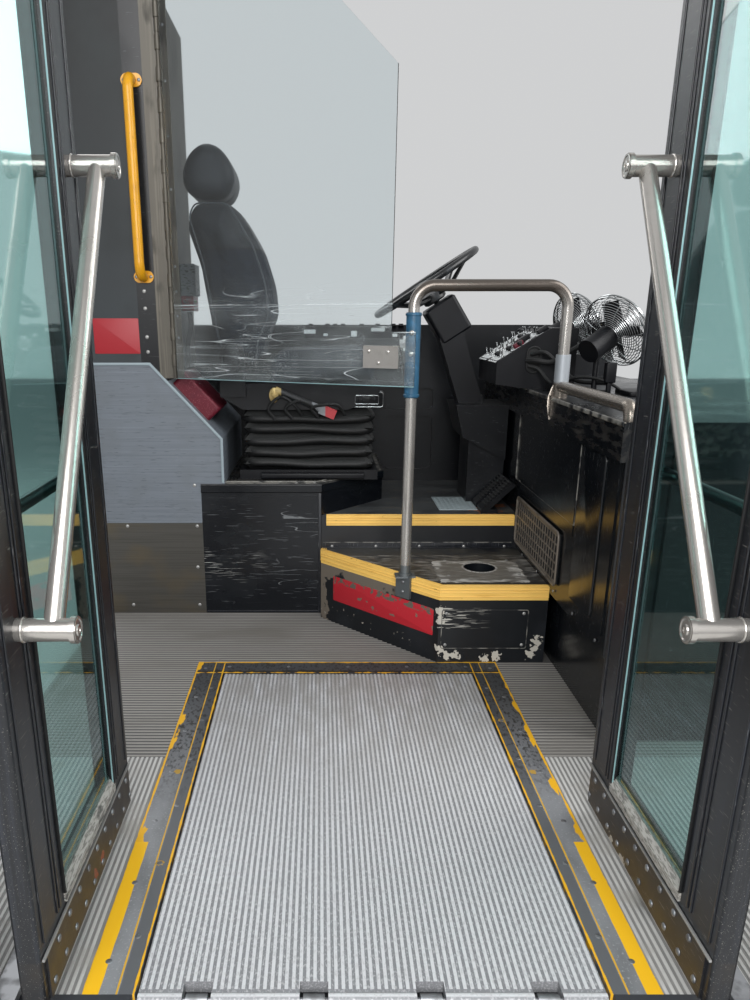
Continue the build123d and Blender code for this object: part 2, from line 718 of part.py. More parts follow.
def barrier_hinge():
    """Fixed leaf on the post's face, its barrels and the pin."""
    x, y = barrier_axis()
    hinge = rod((x, y, BARRIER_LOW), (x, y, BARRIER_TOP), KNUCKLE_PIN_R)
    for i in range(0, KNUCKLES, 2):
        low, high, barrel = knuckle(i)
        hinge += barrel
        hinge += block(x - KNUCKLE_R - HINGE_LEAF_T, x, PLATFORM_Y - HINGE_LEAF_T, PLATFORM_Y, low, high)
    foot = slope_z(POST_FRONT_X)
    return hinge + block(POST_FRONT_X - FIXED_LEAF_LAP, x - KNUCKLE_R - HINGE_LEAF_T,
                         PLATFORM_Y - HINGE_LEAF_T, PLATFORM_Y, max(foot, BARRIER_LOW), BARRIER_TOP)


def barrier_plane():
    """Plane along the closed barrier, just past the sleeve: x along it, y up, z to the aisle."""
    x, y = barrier_axis()
    run, drop = POLE_X - x, y - POLE_Y
    turn = -atan2(drop, run) - asin((SLEEVE_R + BARRIER_GAP) / hypot(run, drop))
    return Plane(origin=(x, y, 0), x_dir=(cos(turn), sin(turn), 0), z_dir=(sin(turn), -cos(turn), 0))


def barrier_slab(points, low, high):
    face = make_face(Polyline(*points, close=True))
    return extrude(barrier_plane().offset(low) * face, amount=high - low)


def barrier_frame():
    """Moving hinge leaf, with the barrels between the fixed ones."""
    half = HINGE_LEAF_T / 2
    frame = barrier_slab([(KNUCKLE_R + HINGE_LEAF_T, BARRIER_LOW), (HINGE_LEAF_W, BARRIER_LOW),
                          (HINGE_LEAF_W, BARRIER_TOP), (KNUCKLE_R + HINGE_LEAF_T, BARRIER_TOP)], -half, half)
    x, y = barrier_axis()
    for i in range(1, KNUCKLES, 2):
        low, high, barrel = knuckle(i)
        frame += barrel
        frame += barrier_slab([(0, low), (HINGE_LEAF_W, low), (HINGE_LEAF_W, high), (0, high)], -half, half)
    return frame - rod((x, y, BARRIER_LOW), (x, y, BARRIER_TOP), KNUCKLE_PIN_R + PIN_GAP)


def barrier_sheet():
    """Clear sheet with a tab at the stanchion and a slanted upper corner."""
    outline = [(SHEET_START, BARRIER_LOW), (SHEET_TAB_END, BARRIER_LOW), (SHEET_TAB_END, SHEET_TAB_TOP),
               (SHEET_EDGE, SHEET_TAB_TOP), (SHEET_EDGE, SHEET_SHOULDER), (SHEET_PEAK_START, BARRIER_TOP),
               (SHEET_START, BARRIER_TOP)]
    near = HINGE_LEAF_T / 2
    return barrier_slab(outline, near, near + SHEET_T)


def barrier_latch():
    near = HINGE_LEAF_T / 2 + SHEET_T
    low, high = LATCH_Z - LATCH_H / 2, LATCH_Z + LATCH_H / 2
    points = [(LATCH_START, low), (LATCH_START + LATCH_W, low), (LATCH_START + LATCH_W, high),
              (LATCH_START, high)]
    return barrier_slab(points, near, near + LATCH_T)


def pole_saddle():
    """Cheek of the pole's foot, down the step's slanted face over the nosing."""
    (x0, y0), (x1, y1) = plinth_outline()[1:3]
    run = Vector(x1 - x0, y1 - y0, 0)
    along = Vector(POLE_X - x0, POLE_Y - y0, 0).dot(run.normalized())
    top = PLINTH_TOP + NOSING_T
    face = Plane(origin=Vector(x0, y0, top) + run.normalized() * along, x_dir=run,
                 z_dir=(run.Y, -run.X, 0))
    cheek = Pos(0, -SADDLE_H / 2, 0) * Box(SADDLE_W, SADDLE_H, SADDLE_T, align=CENTRED_MIN)
    return face * fillet(cheek.edges().filter_by(Axis.Z), SADDLE_T / 2)


def stanchion():
    """Pole from the fare box step, bent over to the cabinet, with its cast foot."""
    path = [(POLE_X, POLE_Y, PLINTH_TOP), (POLE_X, POLE_Y, RAIL_Z), (RAIL_END_X, POLE_Y, RAIL_Z),
            (RAIL_END_X, POLE_Y, ELBOW_SEAT)]
    pole = tube(path, POLE_R, POLE_BEND)
    foot = block(POLE_X - POLE_FOOT_W / 2, POLE_X + POLE_FOOT_W / 2, POLE_Y - POLE_R - NOSING_T,
                 POLE_Y + POLE_R + NOSING_T, PLINTH_TOP, PLINTH_TOP + NOSING_T)
    foot += Pos(POLE_X, POLE_Y, PLINTH_TOP) * Cylinder(SLEEVE_R, POLE_FOOT_H, align=CENTRED_MIN)
    return pole + foot + pole_saddle()


def stanchion_sleeve():
    low, high = (POLE_X, POLE_Y, SLEEVE_LOW), (POLE_X, POLE_Y, SLEEVE_HIGH)
    return rod(low, high, SLEEVE_R) - rod(low, high, POLE_R + SEAT_GAP)


def cabinet_rail():
    """Collar and strap on the cabinet's ledge, and the low tube that runs out along it."""
    collar = rod((RAIL_END_X, POLE_Y, CABINET_TOP), (RAIL_END_X, POLE_Y, ELBOW_TOP), ELBOW_R)
    collar -= rod((RAIL_END_X, POLE_Y, ELBOW_SEAT), (RAIL_END_X, POLE_Y, ELBOW_TOP), POLE_R + SEAT_GAP)
    face = FOOT_FRONT - LEDGE_PROUD
    collar += block(face - STRAP_T, face, POLE_Y - STRAP_W / 2, POLE_Y + STRAP_W / 2,
                    CABINET_TOP - STRAP_H, CABINET_TOP)
    collar += block(face - STRAP_T, RAIL_END_X, POLE_Y - STRAP_W / 2, POLE_Y + STRAP_W / 2,
                    CABINET_TOP, CABINET_TOP + STRAP_T)
    path = [(RAIL_END_X, POLE_Y, CABINET_RAIL_Z), (RAIL_END_X, CABINET_RAIL_NEAR_Y, CABINET_RAIL_Z),
            (RAIL_END_X, CABINET_RAIL_NEAR_Y, CABINET_TOP)]
    return collar + tube(path, CABINET_RAIL_R, CABINET_RAIL_BEND)


def front_cabinet():
    """Closed cabinet under the dash: set-back toe, proud ledge and flush access panels."""
    street = DECK_STREET - SIDE_WALL_T
    ledge = FOOT_FRONT - LEDGE_PROUD
    outline = [(FOOT_FRONT + TOE_DEPTH, -MAT_T), (FOOT_FRONT + TOE_DEPTH, TOE_H - TOE_DEPTH),
               (FOOT_FRONT, TOE_H), (FOOT_FRONT, CABINET_TOP - LEDGE_H), (ledge, CABINET_TOP - LEDGE_H),
               (ledge, CABINET_TOP), (DECK_FRONT, CABINET_TOP), (DECK_FRONT, -MAT_T)]
    cabinet = side_prism(outline, CABINET_NEAR_Y, street)
    for y0, y1, z0, z1 in CABINET_PANELS:
        cabinet += block(FOOT_FRONT - PANEL_PROUD, FOOT_FRONT, PLATFORM_Y + y0, PLATFORM_Y + y1, z0, z1)
    return cabinet


def cabinet_grille():
    """Air intake grille: a frame with rows of slots."""
    near, far, z0, z1 = GRILLE_BOX
    y0, y1 = PLATFORM_Y + near, PLATFORM_Y + far
    grille = block(FOOT_FRONT - GRILLE_T, FOOT_FRONT, y0, y1, z0, z1)
    pitch_y = (y1 - y0 - GRILLE_RIM) / GRILLE_COLUMNS
    pitch_z = (z1 - z0 - GRILLE_RIM) / GRILLE_ROWS
    slots = [block(FOOT_FRONT - GRILLE_T, FOOT_FRONT - GRILLE_T / 2, y, y + pitch_y - GRILLE_RIM / 2,
                   z, z + pitch_z - GRILLE_RIM / 2)
             for y in (y0 + GRILLE_RIM * 0.75 + i * pitch_y for i in range(GRILLE_COLUMNS))
             for z in (z0 + GRILLE_RIM * 0.75 + i * pitch_z for i in range(GRILLE_ROWS))]
    return grille - slots


def dash_pod():
    """Switch pod: a wedge on the cabinet's top that overhangs the driver's side."""
    rise = CABINET_TOP + POD_HIGH_H
    outline = [(POD_REAR, CABINET_TOP + POD_LIFT), (POD_REAR, CABINET_TOP + POD_LOW_H), (POD_CREST, rise),
               (POD_FRONT, rise), (POD_FRONT, CABINET_TOP), (FOOT_FRONT - LEDGE_PROUD, CABINET_TOP)]
    return side_prism(outline, POD_NEAR_Y, POD_FAR_Y)


def wheel_plane(drop=0.0):
    """Plane of the steering wheel's rim, moved down its axis; its z points up the axis."""
    tilt = radians(WHEEL_TILT)
    axis = Vector(-sin(tilt), 0, cos(tilt))
    centre = Vector(WHEEL_X, WHEEL_Y, WHEEL_Z) - axis * drop
    return Plane(origin=centre, x_dir=(0, -1, 0), z_dir=axis)


def steering_wheel():
    """Rim, dished spokes and hub."""
    rim_r = WHEEL_R - RIM_R
    section = Plane.XZ * Pos(rim_r, 0) * RegularPolygon(RIM_R, RIM_SIDES)
    wheel = wheel_plane() * revolve(section, Axis.Z)
    wheel += wheel_plane(WHEEL_DISH + WHEEL_HUB_L) * Cylinder(WHEEL_HUB_R, WHEEL_HUB_L, align=CENTRED_MIN)
    hub = wheel_plane(WHEEL_DISH + WHEEL_HUB_L / 2)
    rim = wheel_plane()
    for i in range(SPOKES):
        turn = radians(360 * (i + 0.5) / SPOKES)
        inner = hub.from_local_coords((WHEEL_HUB_R * cos(turn) / 2, WHEEL_HUB_R * sin(turn) / 2, 0))
        outer = rim.from_local_coords((rim_r * cos(turn), rim_r * sin(turn), 0))
        wheel += rod(inner, outer, SPOKE_R)
    return wheel - wheel_plane(WHEEL_DISH + WHEEL_HUB_L) * Cylinder(
        SHAFT_END_R + PIN_GAP, WHEEL_HUB_L / 2, align=CENTRED_MIN)


def steering_column():
    """Column leaning from the housing to the head, which follows the wheel's axis."""
    head_top = WHEEL_DISH + WHEEL_HUB_L + WHEEL_GAP
    head = Box(HEAD_W, HEAD_D, HEAD_L, align=CENTRED_MIN)
    head = fillet(head.edges().filter_by(Axis.Z), HEAD_ROUND)
    ends = head.edges().group_by(Axis.Z)
    head = wheel_plane(head_top + HEAD_L) * chamfer(ends[0] + ends[-1], HEAD_ROUND / 2)
    stub = wheel_plane(head_top + HEAD_ROUND) * Cylinder(
        SHAFT_END_R, HEAD_ROUND + WHEEL_GAP + WHEEL_HUB_L / 2 - SEAT_GAP, align=CENTRED_MIN)
    knee = wheel_plane(head_top + HEAD_L * KNEE_SHARE).origin
    foot = Vector(COLUMN_FOOT_X, WHEEL_Y, HOUSING_TOP)
    lean = Plane(origin=foot, x_dir=(0, -1, 0), z_dir=knee - foot)
    base = plan_prism([(COLUMN_FOOT_X - COLUMN_D / 2, WHEEL_Y - COLUMN_W / 2),
                       (COLUMN_FOOT_X + COLUMN_D / 2, WHEEL_Y - COLUMN_W / 2),
                       (COLUMN_FOOT_X + COLUMN_D / 2, WHEEL_Y + COLUMN_W / 2),
                       (COLUMN_FOOT_X - COLUMN_D / 2, WHEEL_Y + COLUMN_W / 2)], HOUSING_TOP,
                      HOUSING_TOP + COLUMN_COLLAR)
    mast = lean * Box(COLUMN_W, COLUMN_D, (knee - foot).length, align=CENTRED_MIN)
    mast -= block(COLUMN_FOOT_X - HOUSING_W, COLUMN_FOOT_X + HOUSING_W, WHEEL_Y - HOUSING_W,
                  WHEEL_Y + HOUSING_W, HOUSING_LOW, HOUSING_TOP)
    return head + stub + mast + base


def column_housing():
    """Tapered box at the foot of the steering column, on a narrower leg down to the driver's floor."""
    front = FOOT_FRONT - LEDGE_PROUD
    outline = [(HOUSING_REAR, HOUSING_TOP), (HOUSING_REAR + HOUSING_TAPER, HOUSING_KNEE),
               (front, HOUSING_LOW), (front, HOUSING_TOP)]
    box = side_prism(outline, WHEEL_Y - HOUSING_W / 2, WHEEL_Y + HOUSING_W / 2)
    leg = block(HOUSING_REAR + LEG_SETBACK, front, WHEEL_Y - LEG_W / 2, WHEEL_Y + LEG_W / 2,
                FOOT_TOP, HOUSING_KNEE)
    return box + leg


def pedals():
    """Two treadles on hinge feet, leaning forward against the cabinet."""
    made = Part()
    for inset, width in PEDALS:
        y = PLATFORM_Y + inset
        foot = block(PEDAL_X, PEDAL_X + PEDAL_FOOT_L, y, y + width, FOOT_TOP, FOOT_TOP + PEDAL_FOOT_H)
        top_x = PEDAL_X + PEDAL_L * cos(radians(PEDAL_LEAN))
        top_z = FOOT_TOP + PEDAL_L * sin(radians(PEDAL_LEAN))
        treadle = side_prism([(PEDAL_X, FOOT_TOP + PEDAL_FOOT_H), (PEDAL_X + PEDAL_T, FOOT_TOP),
                              (top_x + PEDAL_T, top_z - PEDAL_T / 2), (top_x, top_z)], y, y + width)
        made += foot + treadle
    return made


def fan_plane(x, y, z, heading, rise, offset=0.0):
    """Plane across a fan; its z points the way that the fan blows."""
    turn, up = radians(heading), radians(rise)
    blow = Vector(cos(up) * cos(turn), cos(up) * sin(turn), sin(up))
    return Plane(origin=Vector(x, y, z) + blow * offset, x_dir=(-sin(turn), cos(turn), 0), z_dir=blow)


def fan_stand(x, y, z, heading, rise):
    """Foot, post and motor, whose shaft carries the rotor."""
    back = -FAN_DEPTH / 2 - MOTOR_L
    motor = fan_plane(x, y, z, heading, rise, back) * Cylinder(MOTOR_R, MOTOR_L, align=CENTRED_MIN)
    shaft = fan_plane(x, y, z, heading, rise, -FAN_DEPTH / 2) * Cylinder(
        FAN_SHAFT_R, FAN_DEPTH / 2 + FAN_HUB_L / 2, align=CENTRED_MIN)
    seat = fan_plane(x, y, z, heading, rise, back + MOTOR_L / 2).origin
    post = rod((seat.X, seat.Y, CABINET_TOP), (seat.X, seat.Y, seat.Z), FAN_POST_R)
    foot = rod((seat.X, seat.Y, CABINET_TOP), (seat.X, seat.Y, CABINET_TOP + FAN_FOOT_T), FAN_FOOT_R)
    return motor + shaft + post + foot


def fan_guard(x, y, z, heading, rise):
    """Wire basket: a rim, a collar on the motor's face, a front badge disc and bent wires."""
    def disc(radius, hole, offset, height):
        ring = Cylinder(radius, height, align=CENTRED_MIN)
        if hole:
            ring -= Cylinder(hole, height, align=CENTRED_MIN)
        return fan_plane(x, y, z, heading, rise, offset) * ring

    half, wire = FAN_DEPTH / 2, FAN_WIRE_T
    guard = disc(FAN_R, FAN_R - wire, -wire, 2 * wire)
    guard += disc(MOTOR_R, FAN_SHAFT_R + FAN_TIP_GAP, -half, wire)
    guard += disc(FAN_HUB_R, 0, half - wire, wire)
    bend = FAN_R * FAN_BEND_SHARE
    centre = fan_plane(x, y, z, heading, rise)
    for side, inner, shift in ((1, FAN_HUB_R, 0), (-1, MOTOR_R, 0.5)):
        for i in range(FAN_WIRES):
            spoke = centre * Plane.XZ.rotated((0, 0, 360 * (i + shift) / FAN_WIRES))
            outline = [(inner - wire, side * (half - wire / 4)), (bend, side * (half - wire)),
                       (FAN_R - wire / 3, -side * wire / 2), (FAN_R - wire, -side * wire / 2),
                       (bend - wire, side * (half - 2 * wire)), (inner - wire, side * (half - 3 * wire / 4))]
            guard += extrude(spoke * make_face(Polyline(*outline, close=True)), amount=wire / 2, both=True)
    return guard


def fan_rotor(x, y, z, heading, rise):
    """Hub with pitched blades, free on the motor's shaft."""
    rotor = fan_plane(x, y, z, heading, rise, -FAN_HUB_L / 2) * Cylinder(
        FAN_HUB_R, FAN_HUB_L, align=CENTRED_MIN)
    blade_r = FAN_R - FAN_TIP_GAP
    for i in range(FAN_BLADES):
        blade = Pos(blade_r / 2, 0, 0) * Rot(FAN_PITCH, 0, 0) * Box(blade_r, FAN_BLADE_W, FAN_BLADE_T)
        rotor += fan_plane(x, y, z, heading, rise) * Rot(0, 0, 360 * i / FAN_BLADES) * blade
    return rotor - fan_plane(x, y, z, heading, rise, -FAN_HUB_L / 2) * Cylinder(
        FAN_SHAFT_R + PIN_GAP, FAN_HUB_L, align=CENTRED_MIN)


def side_wall():
    """Lower side wall with moulded recesses, up to the driver's window sill."""
    inner = DECK_STREET - SIDE_WALL_T
    wall = block(DECK_REAR, DECK_FRONT, inner, DECK_STREET, -MAT_T, SIDE_WALL_TOP)
    for x0, x1, z0, z1 in WALL_RECESSES:
        pocket = block(x0, x1, inner, inner + RECESS_D, z0, z1)
        wall -= fillet(pocket.edges().filter_by(Axis.Y), RECESS_R)
    return wall


def side_console():
    """Switch console along the side wall, at the driver's left hand."""
    inner = DECK_STREET - SIDE_WALL_T
    outline = [(inner - CONSOLE_W, SIDE_WALL_TOP - CONSOLE_H), (inner, SIDE_WALL_TOP - CONSOLE_H),
               (inner, SIDE_WALL_TOP), (inner - CONSOLE_W / 2, SIDE_WALL_TOP),
               (inner - CONSOLE_W, SIDE_WALL_TOP - CONSOLE_H / 2)]
    return cross_prism(outline, CONSOLE_REAR, CONSOLE_FRONT)


def seat_base():
    """Mounting frame of the seat's suspension, on the seat box."""
    return block(BELLOWS_REAR - FOLD_DEPTH, BELLOWS_FRONT + FOLD_DEPTH, SEAT_Y - BELLOWS_W / 2,
                 SEAT_Y + BELLOWS_W / 2, BOX_TOP, BOX_TOP + SEAT_BASE_T)


def zigzag(low, high, inset, z0, z1):
    """Outline that steps in and out once a fold, between two widths."""
    rise = (z1 - z0) / (2 * BELLOWS_FOLDS)
    right = [(high - inset * (i % 2 == 0), z0 + i * rise) for i in range(2 * BELLOWS_FOLDS + 1)]
    left = [(low + inset * (i % 2 == 0), z0 + i * rise) for i in range(2 * BELLOWS_FOLDS + 1)]
    return right + left[::-1]


def seat_bellows():
    """Folded rubber boot round the suspension."""
    z0, z1 = BOX_TOP + SEAT_BASE_T, SEAT_SUSPENSION_TOP
    y0, y1 = SEAT_Y - BELLOWS_W / 2, SEAT_Y + BELLOWS_W / 2
    along = side_prism(zigzag(BELLOWS_REAR, BELLOWS_FRONT, FOLD_DEPTH, z0, z1), y0, y1)
    return along & cross_prism(zigzag(y0, y1, FOLD_DEPTH, z0, z1), BELLOWS_REAR, BELLOWS_FRONT)


def seat_pan():
    """Pan that slides on the suspension, with the recliner plates and their pins."""
    z0, z1 = SEAT_SUSPENSION_TOP + SEAT_GAP, SEAT_SUSPENSION_TOP + SEAT_GAP + PAN_H
    y0, y1 = SEAT_Y - PAN_W / 2, SEAT_Y + PAN_W / 2
    outline = [(BELLOWS_REAR, z0), (BELLOWS_FRONT - PAN_H, z0), (CUSHION_FRONT, z1 - PAN_H / 2),
               (CUSHION_FRONT, z1), (CUSHION_REAR, z1), (RECLINE_X - RECLINER_R, z1),
               (RECLINE_X - RECLINER_R, z1 - PAN_H / 2)]
    pan = side_prism(outline, y0, y1)
    for side in (-1, 1):
        inside = SEAT_Y + side * (BACK_W / 2 + SOFT_GAP)
        outside = inside + side * RECLINER_T
        low, high = min(inside, outside), max(inside, outside)
        pan += block(RECLINE_X - RECLINER_R, RECLINE_X + RECLINER_R, low, high, z1 - PAN_H / 2, RECLINE_Z)
        pan += rod((RECLINE_X, low, RECLINE_Z), (RECLINE_X, high, RECLINE_Z), RECLINER_R)
        pan += block(RECLINE_X - RECLINER_R, RECLINE_X + RECLINER_R, min(outside, SEAT_Y), max(outside, SEAT_Y),
                     z1 - PAN_H / 2, z1)
        pin_end = SEAT_Y + side * (BACK_W / 2 - PIN_DEPTH)
        pan += rod((RECLINE_X, pin_end, RECLINE_Z), (RECLINE_X, outside, RECLINE_Z), RECLINE_PIN_R)
    return pan


def seat_cushion():
    z0 = SEAT_SUSPENSION_TOP + SEAT_GAP + PAN_H + SEAT_GAP
    cushion = block(CUSHION_REAR, CUSHION_FRONT, SEAT_Y - CUSHION_W / 2, SEAT_Y + CUSHION_W / 2,
                    z0, z0 + CUSHION_T)
    cushion = fillet(cushion.edges().filter_by(Axis.Y), SOFT_R)
    sides = cushion.edges().group_by(Axis.Y)
    return chamfer(sides[0] + sides[-1], SOFT_R / 2)


def seat_back():
    """High back with a thick lumbar and a shoulder that narrows to the headrest."""
    back = side_prism(BACK_OUTLINE, SEAT_Y - BACK_W / 2, SEAT_Y + BACK_W / 2)
    back = fillet(back.edges().filter_by(Axis.Y), SOFT_R)
    for side in (-1, 1):
        end = SEAT_Y + side * BACK_W / 2
        back -= rod((RECLINE_X, end - side * (PIN_DEPTH + PIN_GAP), RECLINE_Z), (RECLINE_X, end, RECLINE_Z),
                    RECLINE_PIN_R + PIN_GAP)
    return back


def headrest():
    rest = side_prism(HEADREST_OUTLINE, SEAT_Y - HEADREST_W / 2, SEAT_Y + HEADREST_W / 2)
    return fillet(rest.edges().filter_by(Axis.Y), SOFT_R)


def seat_buckle():
    """Belt buckle on its sleeved stalk, hanging beside the pan."""
    y = SEAT_Y - PAN_W / 2 - BUCKLE_R
    stalk = rod((BUCKLE_X, y, BUCKLE_Z), (BUCKLE_X + BUCKLE_RUN, y, BUCKLE_Z - BUCKLE_DROP), BUCKLE_R)
    lean = Plane(origin=(BUCKLE_X + BUCKLE_RUN, y, BUCKLE_Z - BUCKLE_DROP), x_dir=(0, 1, 0),
                 z_dir=(BUCKLE_RUN, 0, -BUCKLE_DROP))
    return stalk + lean * Box(BUCKLE_T, BUCKLE_W, BUCKLE_L, align=CENTRED_MIN)


SINGLE = (floor_deck, ramp_frame, ramp_hinge, ramp_plate, door_header, seat_box, foot_platform, step_nosing,
          farebox_plinth, plinth_nosing, wheelhouse_cover, wheelhouse_skirt, first_aid_case, call_box,
          partition_panel, partition_post, bulkhead, grab_handle, barrier_hinge, barrier_frame,
          barrier_sheet, barrier_latch, stanchion, stanchion_sleeve, cabinet_rail, front_cabinet,
          cabinet_grille, dash_pod, steering_wheel, steering_column, column_housing, pedals, side_wall,
          side_console, seat_base, seat_bellows, seat_pan, seat_cushion, seat_back, headrest, seat_buckle)
HANDED = (door_post, door_shaft, leaf_frame, leaf_glass, leaf_handle)
PER_FAN = (fan_stand, fan_guard, fan_rotor)


def main():
    os.makedirs("parts", exist_ok=True)
    for make in SINGLE:
        save(make.__name__, make())
    for make in HANDED:
        front = make()
        save(f"{make.__name__}_front", front)
        save(f"{make.__name__}_rear", mirror_x(front))
    for name, x, inset, z, heading, rise in FANS:
        for make in PER_FAN:
            save(f"{make.__name__}_{name}", make(x, PLATFORM_Y + inset, z, heading, rise))
    near, far = floor_mats()
    save("floor_mat_entry", near)
    save("floor_mat_aisle", far)


if __name__ == "__main__":
    main()
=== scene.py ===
"""Looks of the front entrance and driver's station of a city bus.

Shapes are worked out in the bus frame, in millimetres: x runs forward from the middle of the
ramp, y runs in from the door line, and z runs up from the passenger floor. piece() turns them
into metres in the shared frame.
"""
from math import radians

import bmesh
import bpy
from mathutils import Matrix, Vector
import numpy as np


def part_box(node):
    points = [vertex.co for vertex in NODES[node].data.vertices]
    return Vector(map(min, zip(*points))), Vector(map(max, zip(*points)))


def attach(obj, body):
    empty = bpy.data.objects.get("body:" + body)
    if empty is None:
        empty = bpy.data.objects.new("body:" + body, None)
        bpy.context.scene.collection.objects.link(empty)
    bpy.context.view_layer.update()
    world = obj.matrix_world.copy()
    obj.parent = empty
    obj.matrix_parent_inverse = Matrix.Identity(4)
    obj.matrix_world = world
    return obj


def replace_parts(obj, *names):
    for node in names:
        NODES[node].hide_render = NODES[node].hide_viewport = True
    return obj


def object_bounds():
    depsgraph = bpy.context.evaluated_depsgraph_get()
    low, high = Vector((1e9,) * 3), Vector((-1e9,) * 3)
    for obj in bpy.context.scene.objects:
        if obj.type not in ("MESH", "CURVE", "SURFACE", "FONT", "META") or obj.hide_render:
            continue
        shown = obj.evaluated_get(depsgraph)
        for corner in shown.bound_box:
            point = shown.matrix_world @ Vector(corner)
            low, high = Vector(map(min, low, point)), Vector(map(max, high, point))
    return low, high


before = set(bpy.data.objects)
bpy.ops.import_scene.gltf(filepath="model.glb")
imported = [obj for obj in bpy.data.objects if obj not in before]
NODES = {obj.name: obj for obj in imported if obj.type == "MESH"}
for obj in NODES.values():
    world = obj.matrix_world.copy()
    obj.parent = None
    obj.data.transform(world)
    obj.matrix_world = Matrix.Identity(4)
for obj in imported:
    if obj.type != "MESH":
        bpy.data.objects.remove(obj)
CAD_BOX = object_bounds()

# Where the bus frame lies in the shared frame
DECK_EDGE_Y = -30
RAMP_BOX = np.array(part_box("ramp_plate"))
FLOOR_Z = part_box("floor_mat_aisle")[1].z
ZERO = np.array([RAMP_BOX[:, 0].mean(), CAD_BOX[0].y - DECK_EDGE_Y / 1000, FLOOR_Z])
X, Y, Z = np.eye(3)
AHEAD, INWARD, UP = 0, 1, 2
ORIGIN = (0, 0, 0)


def span(node):
    """Lowest and highest corner of a CAD node, in the bus frame."""
    return (np.array(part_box(node)) - ZERO) * 1000


def paint(code):
    """An sRGB hex colour as linear RGBA."""
    srgb = np.array([int(code[i:i + 2], 16) for i in (1, 3, 5)]) / 255
    linear = np.where(srgb <= 0.04045, srgb / 12.92, ((srgb + 0.055) / 1.055) ** 2.4)
    return (*linear, 1.0)


# Shells: points, the points of each face in a row, and the number of points in each face


def skin(points, closed=False):
    """Shell over a grid of points whose rows are loops: four-point faces between neighbours, and
    the first and last row capped, or joined to each other if it is closed."""
    rows, cols = points.shape[:2]
    i = np.arange(rows if closed else rows - 1)[:, None]
    j = np.arange(cols)[None, :]
    k, m = (i + 1) % rows, (j + 1) % cols
    loops = np.stack([i * cols + j, i * cols + m, k * cols + m, k * cols + j], -1).reshape(-1)
    sizes = np.full(len(loops) // 4, 4)
    if not closed:
        loops = np.concatenate([loops, np.arange(cols)[::-1], np.arange(cols) + (rows - 1) * cols])
        sizes = np.append(sizes, [cols, cols])
    return points.reshape(-1, 3).astype(float), loops, sizes


def join(*shells):
    """Several shells as one."""
    starts = np.cumsum([0] + [len(s[0]) for s in shells[:-1]])
    return (np.concatenate([s[0] for s in shells]),
            np.concatenate([s[1] + start for s, start in zip(shells, starts)]),
            np.concatenate([s[2] for s in shells]))


def many(shell, places):
    """Copies of a shell, moved by each of the places."""
    points, loops, sizes = shell
    places = np.atleast_2d(np.array(places, float))
    count = len(places)
    return ((points[None] + places[:, None]).reshape(-1, 3),
            (loops[None] + np.arange(count)[:, None] * len(points)).reshape(-1),
            np.tile(sizes, count))


def row(x, y, z):
    """Places from their coordinates, of which any may be one number for all of them."""
    return np.stack(np.broadcast_arrays(x, y, z), -1).astype(float)


def scaled(shell, factors):
    """A shell stretched by a factor along each axis."""
    return shell[0] * factors, shell[1], shell[2]


def reordered(shell, order):
    """A shell with its axes in another order, so that it lies another way round."""
    return shell[0][:, list(order)], shell[1], shell[2]


def facing(shell, at, normal, up=Z):
    """A shell made about the origin, turned so that its z is the normal and its y leans towards up,
    and moved to a place: its points times the three directions."""
    out = np.array(normal, float) / np.linalg.norm(normal)
    across = np.cross(up, out)
    across = across / np.linalg.norm(across)
    return shell[0] @ np.stack([across, np.cross(out, across), out]) + at, shell[1], shell[2]


def ring(radius, sides):
    """Points of a circle."""
    turn = np.arange(sides) * 2 * np.pi / sides
    return np.stack([np.cos(turn), np.sin(turn)], 1) * radius


def rounded(width, height, radius, steps=5):
    """Rectangle with four arcs of a radius for corners."""
    turn = (np.linspace(0, np.pi / 2, steps)[None] + np.arange(4)[:, None] * np.pi / 2).reshape(-1)
    sign = np.repeat([[1, 1], [-1, 1], [-1, -1], [1, -1]], steps, 0)
    centre = sign * [width / 2 - radius, height / 2 - radius]
    return centre + radius * np.stack([np.cos(turn), np.sin(turn)], 1)


def pad(width, height, depth, radius, edge, steps=5):
    """Rounded rectangle from z 0 to depth, with its front and back edges rounded off."""
    turn = np.linspace(0, np.pi / 2, 4)
    inset = np.concatenate([edge * (1 - np.sin(turn)), edge * (1 - np.cos(turn))])
    level = np.concatenate([edge * (1 - np.cos(turn)), depth - edge * (1 - np.sin(turn))])
    rows = [np.column_stack([rounded(width - 2 * i, height - 2 * i, max(radius - i, 0.1), steps),
                             np.full(4 * steps, z)]) for i, z in zip(inset, level)]
    return skin(np.array(rows))


def brick(low, high, radius, edge, axis=UP):
    """A pad between two corners, with its rounded outline seen along an axis."""
    low, high = np.array(low, float), np.array(high, float)
    order = [(axis + 1) % 3, (axis + 2) % 3, axis]
    width, height, depth = (high - low)[order]
    edge = min(edge, width / 2.1, height / 2.1, depth / 2.1)
    radius = min(radius, width / 2.05, height / 2.05)
    points, loops, sizes = pad(width, height, depth, max(radius, edge + 0.1), edge)
    moved = np.empty_like(points)
    moved[:, order] = points
    middle = (low + high) / 2
    middle[axis] = low[axis]
    return moved + middle, loops, sizes


def lathe(profile, sides):
    """Profile of radius and height, turned about z."""
    profile = np.array(profile, float)
    circle = ring(1, sides)
    rows = np.concatenate([profile[:, None, :1] * circle[None],
                           np.repeat(profile[:, None, 1:], sides, 1)], 2)
    return skin(rows)


def dome(radius, height, sides=14):
    """Button head: a quarter ellipse of radius and height, turned about z."""
    turn = np.linspace(0, np.pi / 2, 5)[:-1]
    profile = np.stack([radius * np.cos(turn), height * np.sin(turn)], 1)
    return lathe(np.concatenate([[(radius, -1)], profile, [(radius * 0.08, height)]]), sides)


def studs(radius, height, out, places):
    """Button heads at places on an upright face, standing out from it."""
    return many(facing(dome(radius, height), ORIGIN, out), places)


